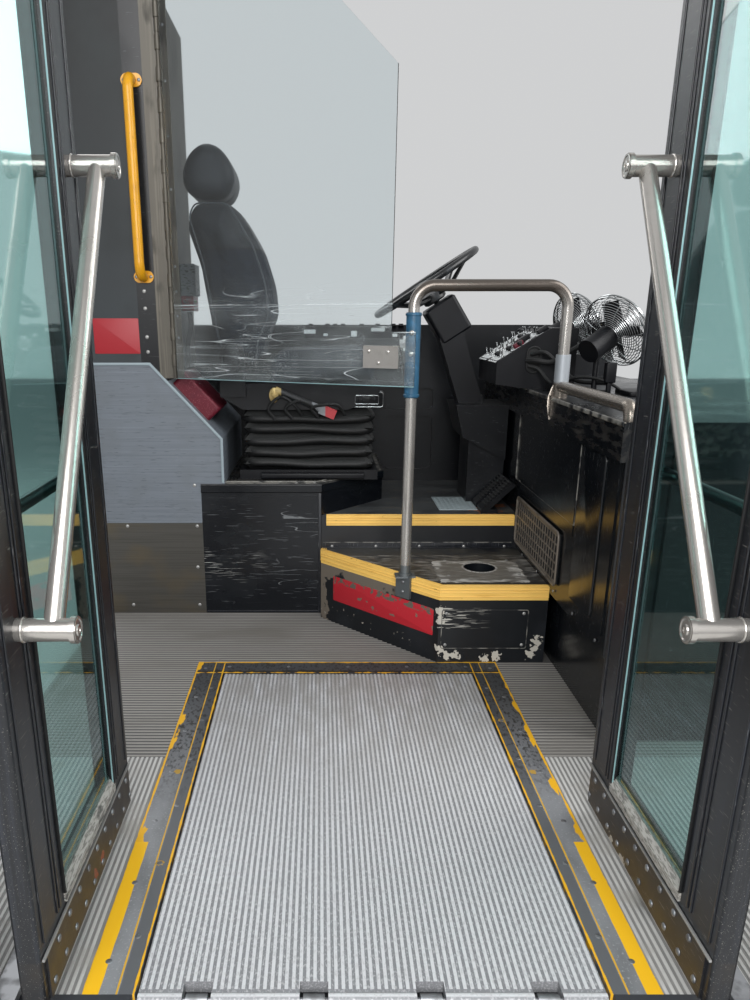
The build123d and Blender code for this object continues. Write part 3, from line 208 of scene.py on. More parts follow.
def sweep(path, outline, up, closed=False, scale=None):
    """Outline carried along a path: its first axis is square to up, its second follows up."""
    path = np.array(path, float)
    if closed:
        tangent = np.roll(path, -1, 0) - np.roll(path, 1, 0)
    else:
        tangent = np.gradient(path, axis=0)
    tangent /= np.linalg.norm(tangent, axis=1)[:, None]
    across = np.cross(tangent, up)
    across /= np.linalg.norm(across, axis=1)[:, None]
    above = np.cross(across, tangent)
    outline = np.array(outline, float)[None]
    if scale is not None:
        outline = outline * np.array(scale)[:, None, None]
    points = path[:, None] + outline[..., :1] * across[:, None] + outline[..., 1:] * above[:, None]
    return skin(points, closed)


def framed(width, height, line, depth, radius):
    """Closed flat frame of a rounded outline: a line of rounded section, proud of its panel."""
    x, y = rounded(width, height, radius, 6).T
    return sweep(row(x, y, 0), rounded(line, depth, min(line, depth) / 2.2, 3), Z, closed=True)


def curve(points, count):
    """Smooth line through points: a Catmull-Rom spline, sampled evenly in each span."""
    p = np.array(points, float)
    p = np.concatenate([2 * p[:1] - p[1:2], p, 2 * p[-1:] - p[-2:-1]])
    t = np.linspace(0, len(p) - 3, count)
    i = np.minimum(t.astype(int), len(p) - 4)
    f = (t - i)[:, None]
    a, b, c, d = p[i], p[i + 1], p[i + 2], p[i + 3]
    return b + f / 2 * (c - a + f * (2 * a - 5 * b + 4 * c - d + f * (3 * (b - c) + d - a)))


def prism(outline, axis, low, high):
    """Flat outline in the two axes after axis, from low to high along it."""
    outline = np.array(outline, float)
    order = [(axis + 1) % 3, (axis + 2) % 3, axis]
    rows = np.empty((2, len(outline), 3))
    rows[:, :, order[0]] = outline[:, 0]
    rows[:, :, order[1]] = outline[:, 1]
    rows[0, :, axis], rows[1, :, axis] = low, high
    return skin(rows)


def ribs(starts, ends, width, height, taper=0.6):
    """Bars between rows of points: each has a four-point section, narrower at its top."""
    side = np.cross(ends - starts, Z)
    side /= np.linalg.norm(side, axis=1)[:, None]
    corners = np.array([(-0.5, 0), (0.5, 0), (taper / 2, 1), (-taper / 2, 1)])
    section = side[:, None] * corners[None, :, :1] * width + Z * corners[None, :, 1:] * height
    grid = np.stack([starts[:, None] + section, ends[:, None] + section], 1)
    points, loops, sizes = skin(grid[0])
    loops = loops[None] + np.arange(len(grid))[:, None] * len(points)
    return grid.reshape(-1, 3), loops.reshape(-1), np.tile(sizes, len(grid))


def mitres(path):
    """Steps to the left of an open flat path that keep a strip's width: at a corner, the sum of
    the ways square to both runs, made as long as the mitre."""
    run = np.diff(path, axis=0)
    run /= np.linalg.norm(run, axis=1)[:, None]
    left = np.stack([-run[:, 1], run[:, 0]], 1)
    before, after = np.concatenate([left[:1], left]), np.concatenate([left, left[-1:]])
    middle = before + after
    return middle / np.sum(middle * before, 1)[:, None]


def strip_along(path, level, width, height, gap, radius):
    """Bar of a rounded section at a level, along a flat path moved to its left by a gap."""
    path = np.array(path, float)
    path += mitres(path) * gap
    section = rounded(width, height, min(radius, width / 2.1, height / 2.1), 4)
    x, y = np.moveaxis(path[:, None] + mitres(path)[:, None] * section[None, :, :1], -1, 0)
    return skin(row(x, y, level + section[:, 1]))


def piece(name, shell, made, body="station", sharp=35):
    """A new object from a shell, in a material, riding on a body."""
    points, loops, sizes = shell
    mesh = bpy.data.meshes.new(name)
    mesh.vertices.add(len(points))
    mesh.vertices.foreach_set("co", (points / 1000 + ZERO).astype(np.float32).ravel())
    mesh.loops.add(len(loops))
    mesh.loops.foreach_set("vertex_index", loops.astype(np.int32))
    mesh.polygons.add(len(sizes))
    starts = np.concatenate([[0], np.cumsum(sizes)[:-1]])
    mesh.polygons.foreach_set("loop_start", starts.astype(np.int32))
    mesh.polygons.foreach_set("loop_total", sizes.astype(np.int32))
    mesh.update(calc_edges=True)
    outward(mesh, sharp)
    mesh.materials.append(made)
    obj = bpy.data.objects.new(name, mesh)
    bpy.context.scene.collection.objects.link(obj)
    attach(obj, body)
    return obj


def outward(mesh, sharp):
    """Points the faces of closed shells outwards, and smooths all but edges of a sharp angle."""
    work = bmesh.new()
    work.from_mesh(mesh)
    bmesh.ops.recalc_face_normals(work, faces=work.faces)
    work.to_mesh(mesh)
    work.free()
    mesh.polygons.foreach_set("use_smooth", np.ones(len(mesh.polygons), bool))
    mesh.set_sharp_from_angle(angle=radians(sharp))


# Nodes and masks that the materials are made of


def add(tree, kind, inputs=None, **settings):
    """Adds a node, sets its properties, and sets or links its sockets, by name or number."""
    made = tree.nodes.new(kind)
    for name, value in settings.items():
        setattr(made, name, value)
    for name, value in (inputs or {}).items():
        if isinstance(name, int):
            socket = made.inputs[name]
        else:
            socket = next(s for s in made.inputs if s.name == name and s.enabled)
        if isinstance(value, bpy.types.Node):
            value = next(s for s in value.outputs if s.enabled)
        if isinstance(value, bpy.types.NodeSocket):
            tree.links.new(value, socket)
        else:
            socket.default_value = paint(value) if isinstance(value, str) else value
    return made


def masked(build):
    """Lets a mask be set up before it has a node tree: build adds its nodes to the tree later."""
    return lambda *settings, **named: lambda tree: build(tree, *settings, **named)


@masked
def patches(tree, size, low=0.5, high=0.75, stretch=(1, 1, 1), detail=3.0):
    """Mask of soft patches about size mm across: cloud noise between two levels."""
    place = add(tree, "ShaderNodeTexCoord").outputs["Object"]
    scale = [1000 / size / s for s in stretch]
    fitted = add(tree, "ShaderNodeMapping", {"Vector": place, "Scale": scale})
    cloud = add(tree, "ShaderNodeTexNoise", {"Vector": fitted, "Scale": 1.0, "Detail": detail})
    return add(tree, "ShaderNodeMapRange", {"Value": cloud, "From Min": low, "From Max": high})


def strokes(length, width, axis, level):
    """Mask of short separate scuffs along an axis: the peaks of cloud noise stretched that way."""
    stretch = [1, 1, 1]
    stretch[axis] = length / width
    return patches(width, level, level + 0.03, stretch, 1.0)


@masked
def scratches(tree, length, width, across, thin):
    """Mask of fine curved lines: where stretched cloud noise passes through its middle."""
    place = add(tree, "ShaderNodeTexCoord").outputs["Object"]
    scale = [1000 / (width if way else length) for way in across]
    fitted = add(tree, "ShaderNodeMapping", {"Vector": place, "Scale": scale})
    cloud = add(tree, "ShaderNodeTexNoise", {"Vector": fitted, "Scale": 1.0, "Detail": 1.0})
    off = add(tree, "ShaderNodeMath", {0: cloud, 1: 0.5}, operation="SUBTRACT")
    far = add(tree, "ShaderNodeMath", {0: off}, operation="ABSOLUTE")
    return add(tree, "ShaderNodeMapRange", {"Value": far, "From Min": thin, "From Max": thin / 3})


def nearer(tree, far, reach, ragged, grain, soft):
    """1 where a distance is under reach, in mm, on an edge that cloud noise moves by ragged."""
    if ragged:
        place = add(tree, "ShaderNodeTexCoord").outputs["Object"]
        cloud = add(tree, "ShaderNodeTexNoise", {"Vector": place, "Scale": 1000 / grain, "Detail": 4.0})
        wander = add(tree, "ShaderNodeMapRange", {"Value": cloud, "From Min": 0.3, "From Max": 0.7,
                                                  "To Min": -ragged / 1000, "To Max": ragged / 1000})
        far = add(tree, "ShaderNodeMath", {0: far, 1: wander}, operation="ADD")
    return add(tree, "ShaderNodeMapRange", {"Value": far, "From Min": (reach + soft) / 1000,
                                            "From Max": (reach - soft) / 1000})


@masked
def band(tree, axis, centre, width, ragged=0.0, grain=12.0, soft=0.4, twin=False):
    """Mask of a stripe across an axis, in bus millimetres; a twin is also on the ramp's other side."""
    place = add(tree, "ShaderNodeTexCoord").outputs["Object"]
    far = add(tree, "ShaderNodeSeparateXYZ", {"Vector": place}).outputs[axis]
    for level in (ZERO[axis], centre / 1000) if twin else (ZERO[axis] + centre / 1000,):
        off = add(tree, "ShaderNodeMath", {0: far, 1: level}, operation="SUBTRACT")
        far = add(tree, "ShaderNodeMath", {0: off}, operation="ABSOLUTE")
    return nearer(tree, far, width / 2, ragged, grain, soft)


@masked
def rise(tree, axis, low, high):
    """Mask that goes from 0 at one level of an axis to 1 at another, in bus millimetres."""
    place = add(tree, "ShaderNodeTexCoord").outputs["Object"]
    level = add(tree, "ShaderNodeSeparateXYZ", {"Vector": place}).outputs[axis]
    return add(tree, "ShaderNodeMapRange", {"Value": level, "From Min": low / 1000 + ZERO[axis],
                                            "From Max": high / 1000 + ZERO[axis]})


@masked
def spots(tree, places, radius, ragged=0.0, grain=20.0, soft=1.0):
    """Mask of round spots about places in the bus frame: the distance from the nearest one."""
    place = add(tree, "ShaderNodeTexCoord").outputs["Object"]
    near = None
    for at in places:
        centre = tuple(ZERO + np.array(at) / 1000)
        far = add(tree, "ShaderNodeVectorMath", {0: place, 1: centre}, operation="DISTANCE")
        near = add(tree, "ShaderNodeMath", {0: near, 1: far}, operation="MINIMUM") if near else far
    return nearer(tree, near.outputs["Value"], radius, ragged, grain, soft)


@masked
def merged(tree, masks, operation):
    """Masks put together two at a time by a Math node's operation."""
    made = masks[0](tree)
    for other in masks[1:]:
        made = add(tree, "ShaderNodeMath", {0: made, 1: other(tree)}, operation=operation)
    return made


def both(*masks):
    """Where all masks hold: their product."""
    return merged(masks, "MULTIPLY")


def either(*masks):
    """Where any mask holds: the largest of them."""
    return merged(masks, "MAXIMUM")


@masked
def outside(tree, inner):
    """Where a mask doesn't hold: one less its value."""
    return add(tree, "ShaderNodeMath", {0: 1.0, 1: inner(tree)}, operation="SUBTRACT")


@masked
def upward(tree, low=0.3, high=0.9):
    """Mask of the faces that look up, where dust settles and feet rub."""
    normal = add(tree, "ShaderNodeNewGeometry").outputs["Normal"]
    level = add(tree, "ShaderNodeSeparateXYZ", {"Vector": normal}).outputs[UP]
    return add(tree, "ShaderNodeMapRange", {"Value": level, "From Min": low, "From Max": high})


def material(name, colour, rough, layers=(), bumps=(), clouded=None, **sockets):
    """Principled material: a ground, masked layers of (mask, colour, roughness), bumps of
    (mask, depth in mm), and for clear ones a mask of where they are clouded."""
    made = bpy.data.materials.new(name)
    made.use_nodes = True
    tree = made.node_tree
    shader = tree.nodes["Principled BSDF"]
    for socket, value in sockets.items():
        shader.inputs[socket.replace("_", " ")].default_value = value
    hue, gloss = colour, rough
    for mask, over, over_rough in layers:
        where = mask(tree)
        hue = add(tree, "ShaderNodeMix", {"Factor": where, "A": hue, "B": over}, data_type="RGBA")
        gloss = add(tree, "ShaderNodeMix", {"Factor": where, "A": gloss, "B": over_rough})
    for socket, value in (("Base Color", hue), ("Roughness", gloss)):
        if isinstance(value, bpy.types.Node):
            tree.links.new(next(s for s in value.outputs if s.enabled), shader.inputs[socket])
        else:
            shader.inputs[socket].default_value = paint(value) if isinstance(value, str) else value
    for mask, depth in bumps:
        bump = add(tree, "ShaderNodeBump", {"Height": mask(tree), "Distance": depth / 1000})
        tree.links.new(bump.outputs[0], shader.inputs["Normal"])
    if clouded:
        clear = add(tree, "ShaderNodeMapRange", {"Value": clouded(tree), "To Min": 1.0, "To Max": 0.5})
        tree.links.new(clear.outputs[0], shader.inputs["Transmission Weight"])
    return made


# Materials, each named for what the real one is made of

PAINT_YELLOW = "#e6ae20"
# Levels of the floor's ribs, below which their valleys are painted dark as shade, and where the lines and the
# broad stripe lie on the ramp's strips
RIB_TOP, RIB_FOOT = -0.2, -1.3
STRIP_CENTRE, STRIP_EDGE, STRIP_MIDDLE, STRIP_INNER = 409, 481, 426, 397.5
STRIPE_END = 486
# The ragged height band in which shoes and bags scuff the seat box
KICKED = band(UP, 240, 400, 60, 90, 40)


def scrape(width, depth, ragged, grain, soft=0.4):
    """Mask of a ragged rectangle round the port, where the fare box's foot rubs the step."""
    return both(band(AHEAD, 445, width, ragged, grain, soft), band(INWARD, 1600, depth, ragged, grain, soft))


# Enamelled sheet steel, sprayed satin black: near black with a bluish gloss, faintly scuffed
BLACK_ENAMEL = material(
    "enamelled_sheet_steel_black", "#0a0c10", 0.3, Specular_IOR_Level=0.35,
    layers=[(patches(200), "#0f1216", 0.42), (strokes(26, 2, AHEAD, 0.73), "#46494c", 0.5)])
# The same enamel, kicked: sparse pale scuffs across its middle, and a rubbed mat on top
BOX_ENAMEL = material(
    "enamelled_sheet_steel_kicked", "#0b0e13", 0.22, Specular_IOR_Level=0.35,
    layers=[(patches(170, 0.5, 0.75, (1, 1, 0.5)), "#0f1318", 0.36),
            (both(strokes(80, 2.4, AHEAD, 0.62), band(UP, 190, 44, 40, 90, 20), rise(AHEAD, -250, -420)),
             "#a9a9a5", 0.5),
            (both(scratches(300, 40, (0, 0, 1), 0.006), KICKED, patches(90, 0.54, 0.6)), "#6f7274", 0.5),
            (both(strokes(90, 2, AHEAD, 0.72), KICKED), "#66696b", 0.5),
            (both(upward(), patches(60, 0.35, 0.6, (4, 1, 1))), "#3a3936", 0.62),
            (both(upward(), patches(14, 0.5, 0.6, (12, 1, 1))), "#1b1a19", 0.62)])
# Gloss black enamel on the tall cabinet: almost a mirror, with its ledge worn brown
CABINET_ENAMEL = material(
    "gloss_enamel_black", "#0b0e12", 0.2,
    layers=[(patches(260), "#14171b", 0.3),
            (both(band(UP, 790, 76, 10, 60, 8), patches(18, 0.45, 0.7, (1, 5, 1))), "#2a2825", 0.5),
            (both(band(UP, 834, 6, 3, 30), band(AHEAD, 622, 12), patches(24, 0.48, 0.56, (1, 4, 1))),
             "#8a8378", 0.5),
            (both(upward(), patches(120, 0.35, 0.8)), "#24272a", 0.5),
            (both(upward(), patches(20, 0.62, 0.72, (1, 3, 1), 5)), "#474540", 0.55),
            (strokes(24, 2, UP, 0.72), "#4b4c4c", 0.5)])
# Enamel on the fare box step: chipped to pale primer at its corners, scraped round the port
STEP_ENAMEL = material(
    "chipped_enamel_black", "#101317", 0.32,
    layers=[(patches(150), "#1b1e23", 0.42),
            (both(upward(), patches(60, 0.35, 0.6)), "#34332f", 0.5),
            (both(either(band(UP, 196, 74, 20, 40), band(AHEAD, -86, 44, 14, 30)), rise(AHEAD, 190, 150),
                  outside(rise(UP, 250, 256)), patches(50, 0.38, 0.44, detail=6)), "#675f55", 0.5),
            (both(band(UP, 40, 36, 12, 30), rise(AHEAD, 300, 250), patches(13, 0.67, 0.7, detail=5)),
             "#9c968c", 0.5),
            (spots([(296, 1430, 176), (297, 1430, 150), (298, 1430, 44), (322, 1430, 24), (350, 1430, 24),
                    (484, 1430, 22), (446, 1430, 12), (606, 1430, 46), (592, 1430, 28), (612, 1430, 74)],
                   14, 12, 14), "#b9b4a9", 0.5),
            (both(strokes(54, 4, AHEAD, 0.57), band(INWARD, 1430, 8), band(UP, 152, 70),
                  rise(AHEAD, 460, 330)),
             "#b3b0a8", 0.5),
            (both(upward(), scrape(290, 240, 12, 30)), "#66635d", 0.5),
            (both(upward(), scrape(286, 236, 8, 24), patches(26, 0.44, 0.6, (3, 1, 1)),
                  outside(scrape(236, 176, 22, 40, 8))), "#c4c2bc", 0.5),
            (both(upward(), strokes(60, 4, AHEAD, 0.58), band(INWARD, 1640, 300)), "#8f8c86", 0.5)])
# Powder coated extrusion: black with a blue cast, rubbed in long upright lines
BLACK_EXTRUSION = material(
    "powder_coated_extrusion_black", "#15171c", 0.33,
    layers=[(patches(5, 0.5, 0.72, (1, 1, 60), 2), "#23262d", 0.4),
            (strokes(40, 1.6, UP, 0.7), "#6b6c6e", 0.5)])
# The same coating on the door leaves, with rust and primer at some rivets of the kick plates
LEAF_FRAME = material(
    "powder_coated_extrusion_leaf", "#15171b", 0.33,
    layers=[(patches(5, 0.5, 0.72, (1, 1, 60), 2), "#24272e", 0.4),
            (both(rise(UP, 132, 128), patches(60, 0.4, 0.7)), "#24211f", 0.42),
            (strokes(34, 1.8, INWARD, 0.69), "#6f6c68", 0.5),
            (spots([(-510, 338, 71), (-510, 290, 69)], 13, 9, 12), "#8a5038", 0.7),
            (spots([(510, 430, 46), (510, 366, 44)], 12, 8, 12), "#a8a39b", 0.6)])
# Painted underframe: dull dark grey
UNDERFRAME = material(
    "painted_steel_underframe", "#303236", 0.6,
    layers=[(patches(180), "#434342", 0.75)])
# Zinc plated steel: grey metal, mottled
ZINC = material(
    "zinc_plated_steel", "#8d8f92", 0.42, Metallic=0.8,
    layers=[(patches(30, 0.45, 0.65), "#6f7072", 0.55)])
# Brushed stainless steel: warm grey metal with fine lines along it
STAINLESS = material(
    "brushed_stainless_steel", "#b6b2ad", 0.24, Metallic=0.8,
    layers=[(patches(60, 0.45, 0.75), "#a5a19b", 0.3)])
# The pole and its arch: brown grey along the top as a painted dark reflection, cast grey at the foot
POLE_STEEL = material(
    "stainless_tube_painted_reflection", "#b9b5b0", 0.25, Metallic=0.75,
    layers=[(patches(2.5, 0.45, 0.7, (1, 1, 50), 2), "#8f8b86", 0.34),
            (rise(UP, 1090, 1150), "#5f5852", 0.28), (rise(UP, 302, 296), "#6d7274", 0.5)])
# The low rail, painted dark brown grey as a reflection; its upright collar is a pale sand casting
RAIL_STEEL = material(
    "stainless_rail_painted_reflection", "#8a8279", 0.26, Metallic=0.75,
    layers=[(patches(2.5, 0.45, 0.7, (1, 50, 1), 2), "#77706a", 0.34),
            (both(band(AHEAD, 648, 50), band(INWARD, 1542, 50), rise(UP, 876, 884)), "#a9aeb3", 0.55)])
# Anodised aluminium: dull pale metal, rubbed
ALUMINIUM = material(
    "anodised_aluminium", "#a3a3a1", 0.42, Metallic=0.6,
    layers=[(patches(60, 0.5, 0.7), "#858584", 0.55)])
# Mill finish aluminium of the long hinge, gone brown grey
HINGE_ALLOY = material(
    "mill_finish_aluminium_dull", "#514d45", 0.45, Metallic=0.3,
    layers=[(patches(6, 0.5, 0.75, (1, 1, 50), 2), "#6c675d", 0.5),
            (patches(40, 0.55, 0.7, (1, 1, 3)), "#38352f", 0.55)])
# Tinted toughened glass: teal, clear
TINTED_GLASS = material("tinted_toughened_glass", "#a9d8d4", 0.03, Transmission_Weight=1.0, IOR=1.5)
# Powder coated tube: strong yellow, smooth, dull where hands rub
YELLOW_TUBE = material(
    "powder_coated_tube_yellow", "#dc9c04", 0.34, Coat_Weight=0.15,
    layers=[(patches(90, 0.55, 0.75), "#c98d06", 0.42),
            (strokes(16, 1.6, UP, 0.7), "#6b5316", 0.5)])
# Moulded polyester: grey cover over the wheel, rubbed in long level streaks by legs and bags
GREY_COVER = material(
    "moulded_polyester_grey", "#6a7179", 0.42,
    layers=[(patches(6, 0.48, 0.75, (60, 60, 1), 2), "#60666e", 0.5),
            (patches(3.4, 0.58, 0.74, (80, 80, 1), 2), "#757c84", 0.45),
            (patches(150), "#63696f", 0.5), (strokes(46, 1.4, AHEAD, 0.685), "#33363a", 0.55)])
# Stainless sheet, walked past and kicked: dark, brushed level, with brown light in it
SKIRT_SHEET = material(
    "stainless_sheet_worn", "#514f4b", 0.34, Metallic=0.45,
    layers=[(patches(4, 0.42, 0.8, (60, 60, 1), 2), "#42413c", 0.4),
            (patches(150, 0.5, 0.72, (1.6, 1, 1)), "#5d5340", 0.38)])
# Melamine panel: dark grey, satin, with painted light that makes it a little paler towards its foot
PARTITION_LAMINATE = material(
    "melamine_panel_dark_grey", "#1d1f20", 0.4, Specular_IOR_Level=0.25,
    layers=[(rise(UP, 1900, 950), "#3a3f42", 0.42), (patches(200), "#2c3031", 0.48)])
# Glass fibre panel: dull beige, painted a near black brown as shade
BEIGE_PANEL = material(
    "glass_fibre_panel_beige", "#2d2a23", 0.5, Specular_IOR_Level=0.2,
    layers=[(patches(220, 0.45, 0.7), "#1d1b17", 0.6)])
# Moulded polyurethane edge: bright yellow, dirty in its lines
YELLOW_NOSING = material(
    "moulded_nosing_yellow", "#ecc063", 0.45,
    layers=[(patches(9, 0.55, 0.8, (14, 14, 1), 2), "#d2a147", 0.55),
            (patches(14, 0.69, 0.73, detail=5), "#6b5426", 0.65)])
# Ribbed vinyl by the door: broad pale ribs over valleys painted dark as shade
ENTRY_VINYL = material(
    "ribbed_vinyl_entry", "#7b7a78", 0.55,
    layers=[(rise(UP, RIB_FOOT, RIB_TOP), "#b9b8b5", 0.48),
            (patches(90), "#96938d", 0.6)])
# Ribbed vinyl of the aisle: finer, brown grey with dirt, its valleys painted dark as shade
AISLE_VINYL = material(
    "ribbed_vinyl_aisle", "#4d4c4b", 0.6,
    layers=[(rise(UP, RIB_FOOT, RIB_TOP), "#8d8a85", 0.52),
            (patches(150, 0.5, 0.75, (3, 1, 1)), "#686560", 0.6)])
# Extruded aluminium tread: pale gritty ribs over valleys painted grey as shade, darker in streaks towards the
# aisle
RAMP_TREAD = material(
    "extruded_aluminium_tread", "#808184", 0.5, Metallic=0.1,
    layers=[(rise(UP, RIB_FOOT, RIB_TOP), "#cbccce", 0.42),
            (patches(4, 0.5, 0.75, (1, 2, 1), 2), "#b4b4b6", 0.5),
            (both(rise(INWARD, 500, 1600), patches(30, 0.3, 0.6, (1, 4, 1))), "#8c8985", 0.55)])
# Painted steel strip round the ramp: blue grey, speckled dark, with painted shade that darkens it further in,
# and lines of yellow paint left on it
RAMP_STRIP = material(
    "painted_steel_strip", "#85878a", 0.45, Metallic=0.1,
    layers=[(patches(60, 0.45, 0.72, (1, 3, 1)), "#6c6e70", 0.5), (patches(5, 0.58, 0.72), "#9c9d9e", 0.5),
            (band(AHEAD, STRIP_CENTRE, 28, 1, 30, twin=True), "#5d5f62", 0.5),
            # Painted shade: darker from y 560 to 1250, further into the bus
            (rise(INWARD, 560, 1250), "#3d3f42", 0.5),
            (both(rise(INWARD, 620, 900), patches(8, 0.5, 0.62, (1, 2, 1), 5)), "#2b2a29", 0.6),
            (band(INWARD, 1352, 18, 6, 30), "#1c1b1a", 0.6),
            (band(AHEAD, STRIP_EDGE, 5, 1.2, 60, twin=True), PAINT_YELLOW, 0.5),
            (both(patches(60, 0.53, 0.55, (1, 2.4, 1)), band(AHEAD, 477, 12, 6, 50, twin=True)),
             PAINT_YELLOW, 0.5),
            (band(AHEAD, STRIP_MIDDLE, 3, 0.6, 60, twin=True), "#d3a42a", 0.55),
            (band(AHEAD, STRIP_INNER, 4, 1, 40, twin=True), PAINT_YELLOW, 0.5),
            (band(INWARD, 1425, 6, 2, 26), PAINT_YELLOW, 0.5),
            (band(INWARD, 1347, 5, 4, 20), PAINT_YELLOW, 0.5),
            (both(band(AHEAD, 469, 27, 0.8, 60, twin=True), rise(INWARD, STRIPE_END, STRIPE_END - 2)),
             "#efb91d", 0.5),
            (spots([(440, 765, 0), (-440, 765, 0), (418, 1030, 0), (-418, 415, 0)], 9, 5, 10),
             "#a8873c", 0.7)])
# Clear polycarbonate: hazed and scratched in long arcs along its lower half
CLEAR_SHEET = material(
    "clear_polycarbonate", "#ecf4f6", 0.04, Transmission_Weight=1.0, IOR=1.45,
    clouded=both(rise(UP, 1200, 1080), either(
        both(scratches(1300, 34, (0, 0, 1), 0.004), patches(300, 0.42, 0.58, (2, 2, 1))),
        both(scratches(800, 24, (0, 0, 1), 0.005), patches(190, 0.46, 0.6, (2, 2, 1))),
        both(scratches(420, 60, (0, 0, 1), 0.003), patches(150, 0.5, 0.6)),
        both(strokes(50, 1.6, AHEAD, 0.66), patches(120, 0.45, 0.6)),
        both(patches(150, 0.3, 2.2, (2, 2, 1)), band(UP, 940, 300, 30, 120, 90)),
        band(UP, 1107, 2, 1.5, 160))))
# Heat shrink sleeve: dark teal blue, soft gloss
BLUE_SLEEVE = material(
    "shrunk_sleeve_blue", "#204c66", 0.4,
    layers=[(patches(26, 0.5, 0.7), "#2a5f80", 0.5),
            (strokes(24, 2, UP, 0.68), "#1c3a4d", 0.5)])
# Moulded ABS: black, finely grained
BLACK_ABS = material(
    "moulded_abs_black", "#0b0c10", 0.4, Specular_IOR_Level=0.25,
    layers=[(patches(90), "#101216", 0.48)],
    bumps=[(patches(1.5, 0.3, 0.7), 0.02)])
# Polyurethane rim: black, worn grey at its lower end
WHEEL_RIM = material(
    "polyurethane_rim", "#0e1012", 0.3,
    layers=[(both(rise(UP, 1120, 1080), patches(30, 0.35, 0.55)), "#5d666b", 0.45),
            (patches(50, 0.55, 0.7), "#22262a", 0.4)])
# Chromed wire: bright over dark
CHROME_WIRE = material("chromed_wire", "#b2b5b6", 0.16, Metallic=1.0)
# Rubber: black, matt, paler on every upward face
BELLOWS_RUBBER = material(
    "moulded_rubber_black", "#101112", 0.55, Specular_IOR_Level=0.35,
    layers=[(upward(), "#2b2c2c", 0.68)])
# Woven seat cloth: dark blue grey
SEAT_CLOTH = material(
    "woven_seat_cloth", "#121a25", 0.85, Sheen_Weight=0.04, Specular_IOR_Level=0.15,
    layers=[(patches(50, 0.45, 0.65), "#141a23", 0.9), (patches(2.2, 0.45, 0.75), "#0d131b", 0.9),
            (rise(UP, 1288, 1296), "#15191e", 0.45), (band(UP, 1292, 5, 2, 90), "#08090b", 0.8),
            (band(UP, 1449, 6, 2, 90), "#08090b", 0.8)],
    bumps=[(patches(2.2, 0.3, 0.7), 0.05)])
# Vinyl piping: grey, smooth
PIPING = material("vinyl_piping_grey", "#2b3137", 0.4)
# Red case, rubbed dull
RED_CASE = material(
    "moulded_case_red", "#5e1122", 0.42, Specular_IOR_Level=0.3,
    layers=[(patches(60, 0.5, 0.7), "#561524", 0.55),
            (strokes(30, 2, INWARD, 0.69), "#b0737c", 0.5)])
# Belt stalk: brass tongue, black sleeve, grey buckle and red button, one after the other
BELT_STALK = material(
    "seat_belt_stalk", "#17191c", 0.5,
    layers=[(rise(AHEAD, -226, -230), "#a9935f", 0.4), (rise(AHEAD, -120, -116), "#74777b", 0.35),
            (rise(AHEAD, -72, -69), "#a8232b", 0.4)])
# Electronics box: grey lid over a dull red base
CALL_BOX_CASE = material(
    "moulded_case_grey_and_red", "#7d1c26", 0.45,
    layers=[(rise(UP, 1146, 1149), "#868b8e", 0.5),
            (patches(5, 0.56, 0.6, (3, 3, 1)), "#4c4f52", 0.55)])
# Painted ledge under a leaf's glass, scraped by shoes and bags to a pale felted grey
SCRAPED_LEDGE = material(
    "scraped_painted_ledge", "#a8a59f", 0.6,
    layers=[(patches(3, 0.45, 0.6, (1, 6, 1)), "#77746f", 0.65),
            (patches(26, 0.62, 0.68, (1, 3, 1)), "#4b4a47", 0.55)])
# Raised aluminium plate by the pedals: pale, cool grey
TREAD_PLATE = material("aluminium_tread_plate", "#a3b0b3", 0.45, Metallic=0.2)
# Nylon bristles: grey
BRISTLES = material("nylon_bristles", "#6d6d6c", 0.6)
# Vinyl label, blank: red, torn away to the glue and paint under it
WORN_LABEL = material(
    "vinyl_label_red", "#b0202c", 0.42,
    layers=[(patches(34, 0.63, 0.65, detail=6), "#6f6358", 0.55),
            (both(band(UP, 200, 90), patches(20, 0.52, 0.54, detail=6)), "#5d534a", 0.55)])
# Vinyl plate, blank: clean red
RED_PLATE = material("vinyl_plate_red", "#a01824", 0.4)
# Painted edge strip with a pale blue grey cast
EDGE_STRIP = material("painted_edge_strip", "#8c9aa0", 0.42, Metallic=0.1)
# Edge rubbed through its black paint; along the riser's top edge its pale flecks are a painted highlight
WORN_EDGE_AND_HIGHLIGHT = material(
    "rubbed_black_edge_and_highlight", "#1d1e20", 0.4,
    layers=[(patches(34, 0.42, 0.56, detail=5), "#7b7973", 0.45)])
# Black painted lattice worn evenly to brown grey metal; the floor of its openings is painted black as shade
GRILLE_PAINT_AND_SHADE = material(
    "worn_painted_lattice_and_shaded_floor", "#6f675e", 0.45,
    layers=[(patches(60, 0.5, 0.7), "#48433c", 0.5),
            # Painted shade: black on the floor of the openings, past x 632.5
            (rise(AHEAD, 630.8, 632.5), "#0a0b0c", 0.6)])
# Driver's floor: black riser, its top rubbed brown grey, with rust at the pedals
PLATFORM_TOP = material(
    "rubber_mat_rubbed", "#101216", 0.35,
    layers=[(both(upward(), patches(80, 0.25, 0.55, (3, 1, 1))), "#3f4243", 0.55),
            (both(upward(), patches(24, 0.6, 0.66, (3, 1, 1))), "#57534c", 0.6),
            (spots([(512, 2010, 378), (540, 1960, 378), (575, 2060, 378)], 44, 26, 30),
             "#7c4c2f", 0.75)])
# Printed vinyl, blank: off white
LABEL_WHITE = material("blank_label_plate", "#dfe2e2", 0.35)
# Saw cut edge of the clear sheet: pale cyan, a painted glow of the light that the edge gathers
SHEET_EDGE = material("saw_cut_polycarbonate_edge", "#84a6a9", 0.3)
# Brass plated steel
BRASS = material(
    "brass_plated_steel", "#9a8658", 0.4, Metallic=0.7,
    layers=[(patches(12, 0.5, 0.65), "#7d6a42", 0.5)])
# Green indicator lamp, unlit
GREEN_LENS = material("moulded_lens_green", "#5f8a3a", 0.3)

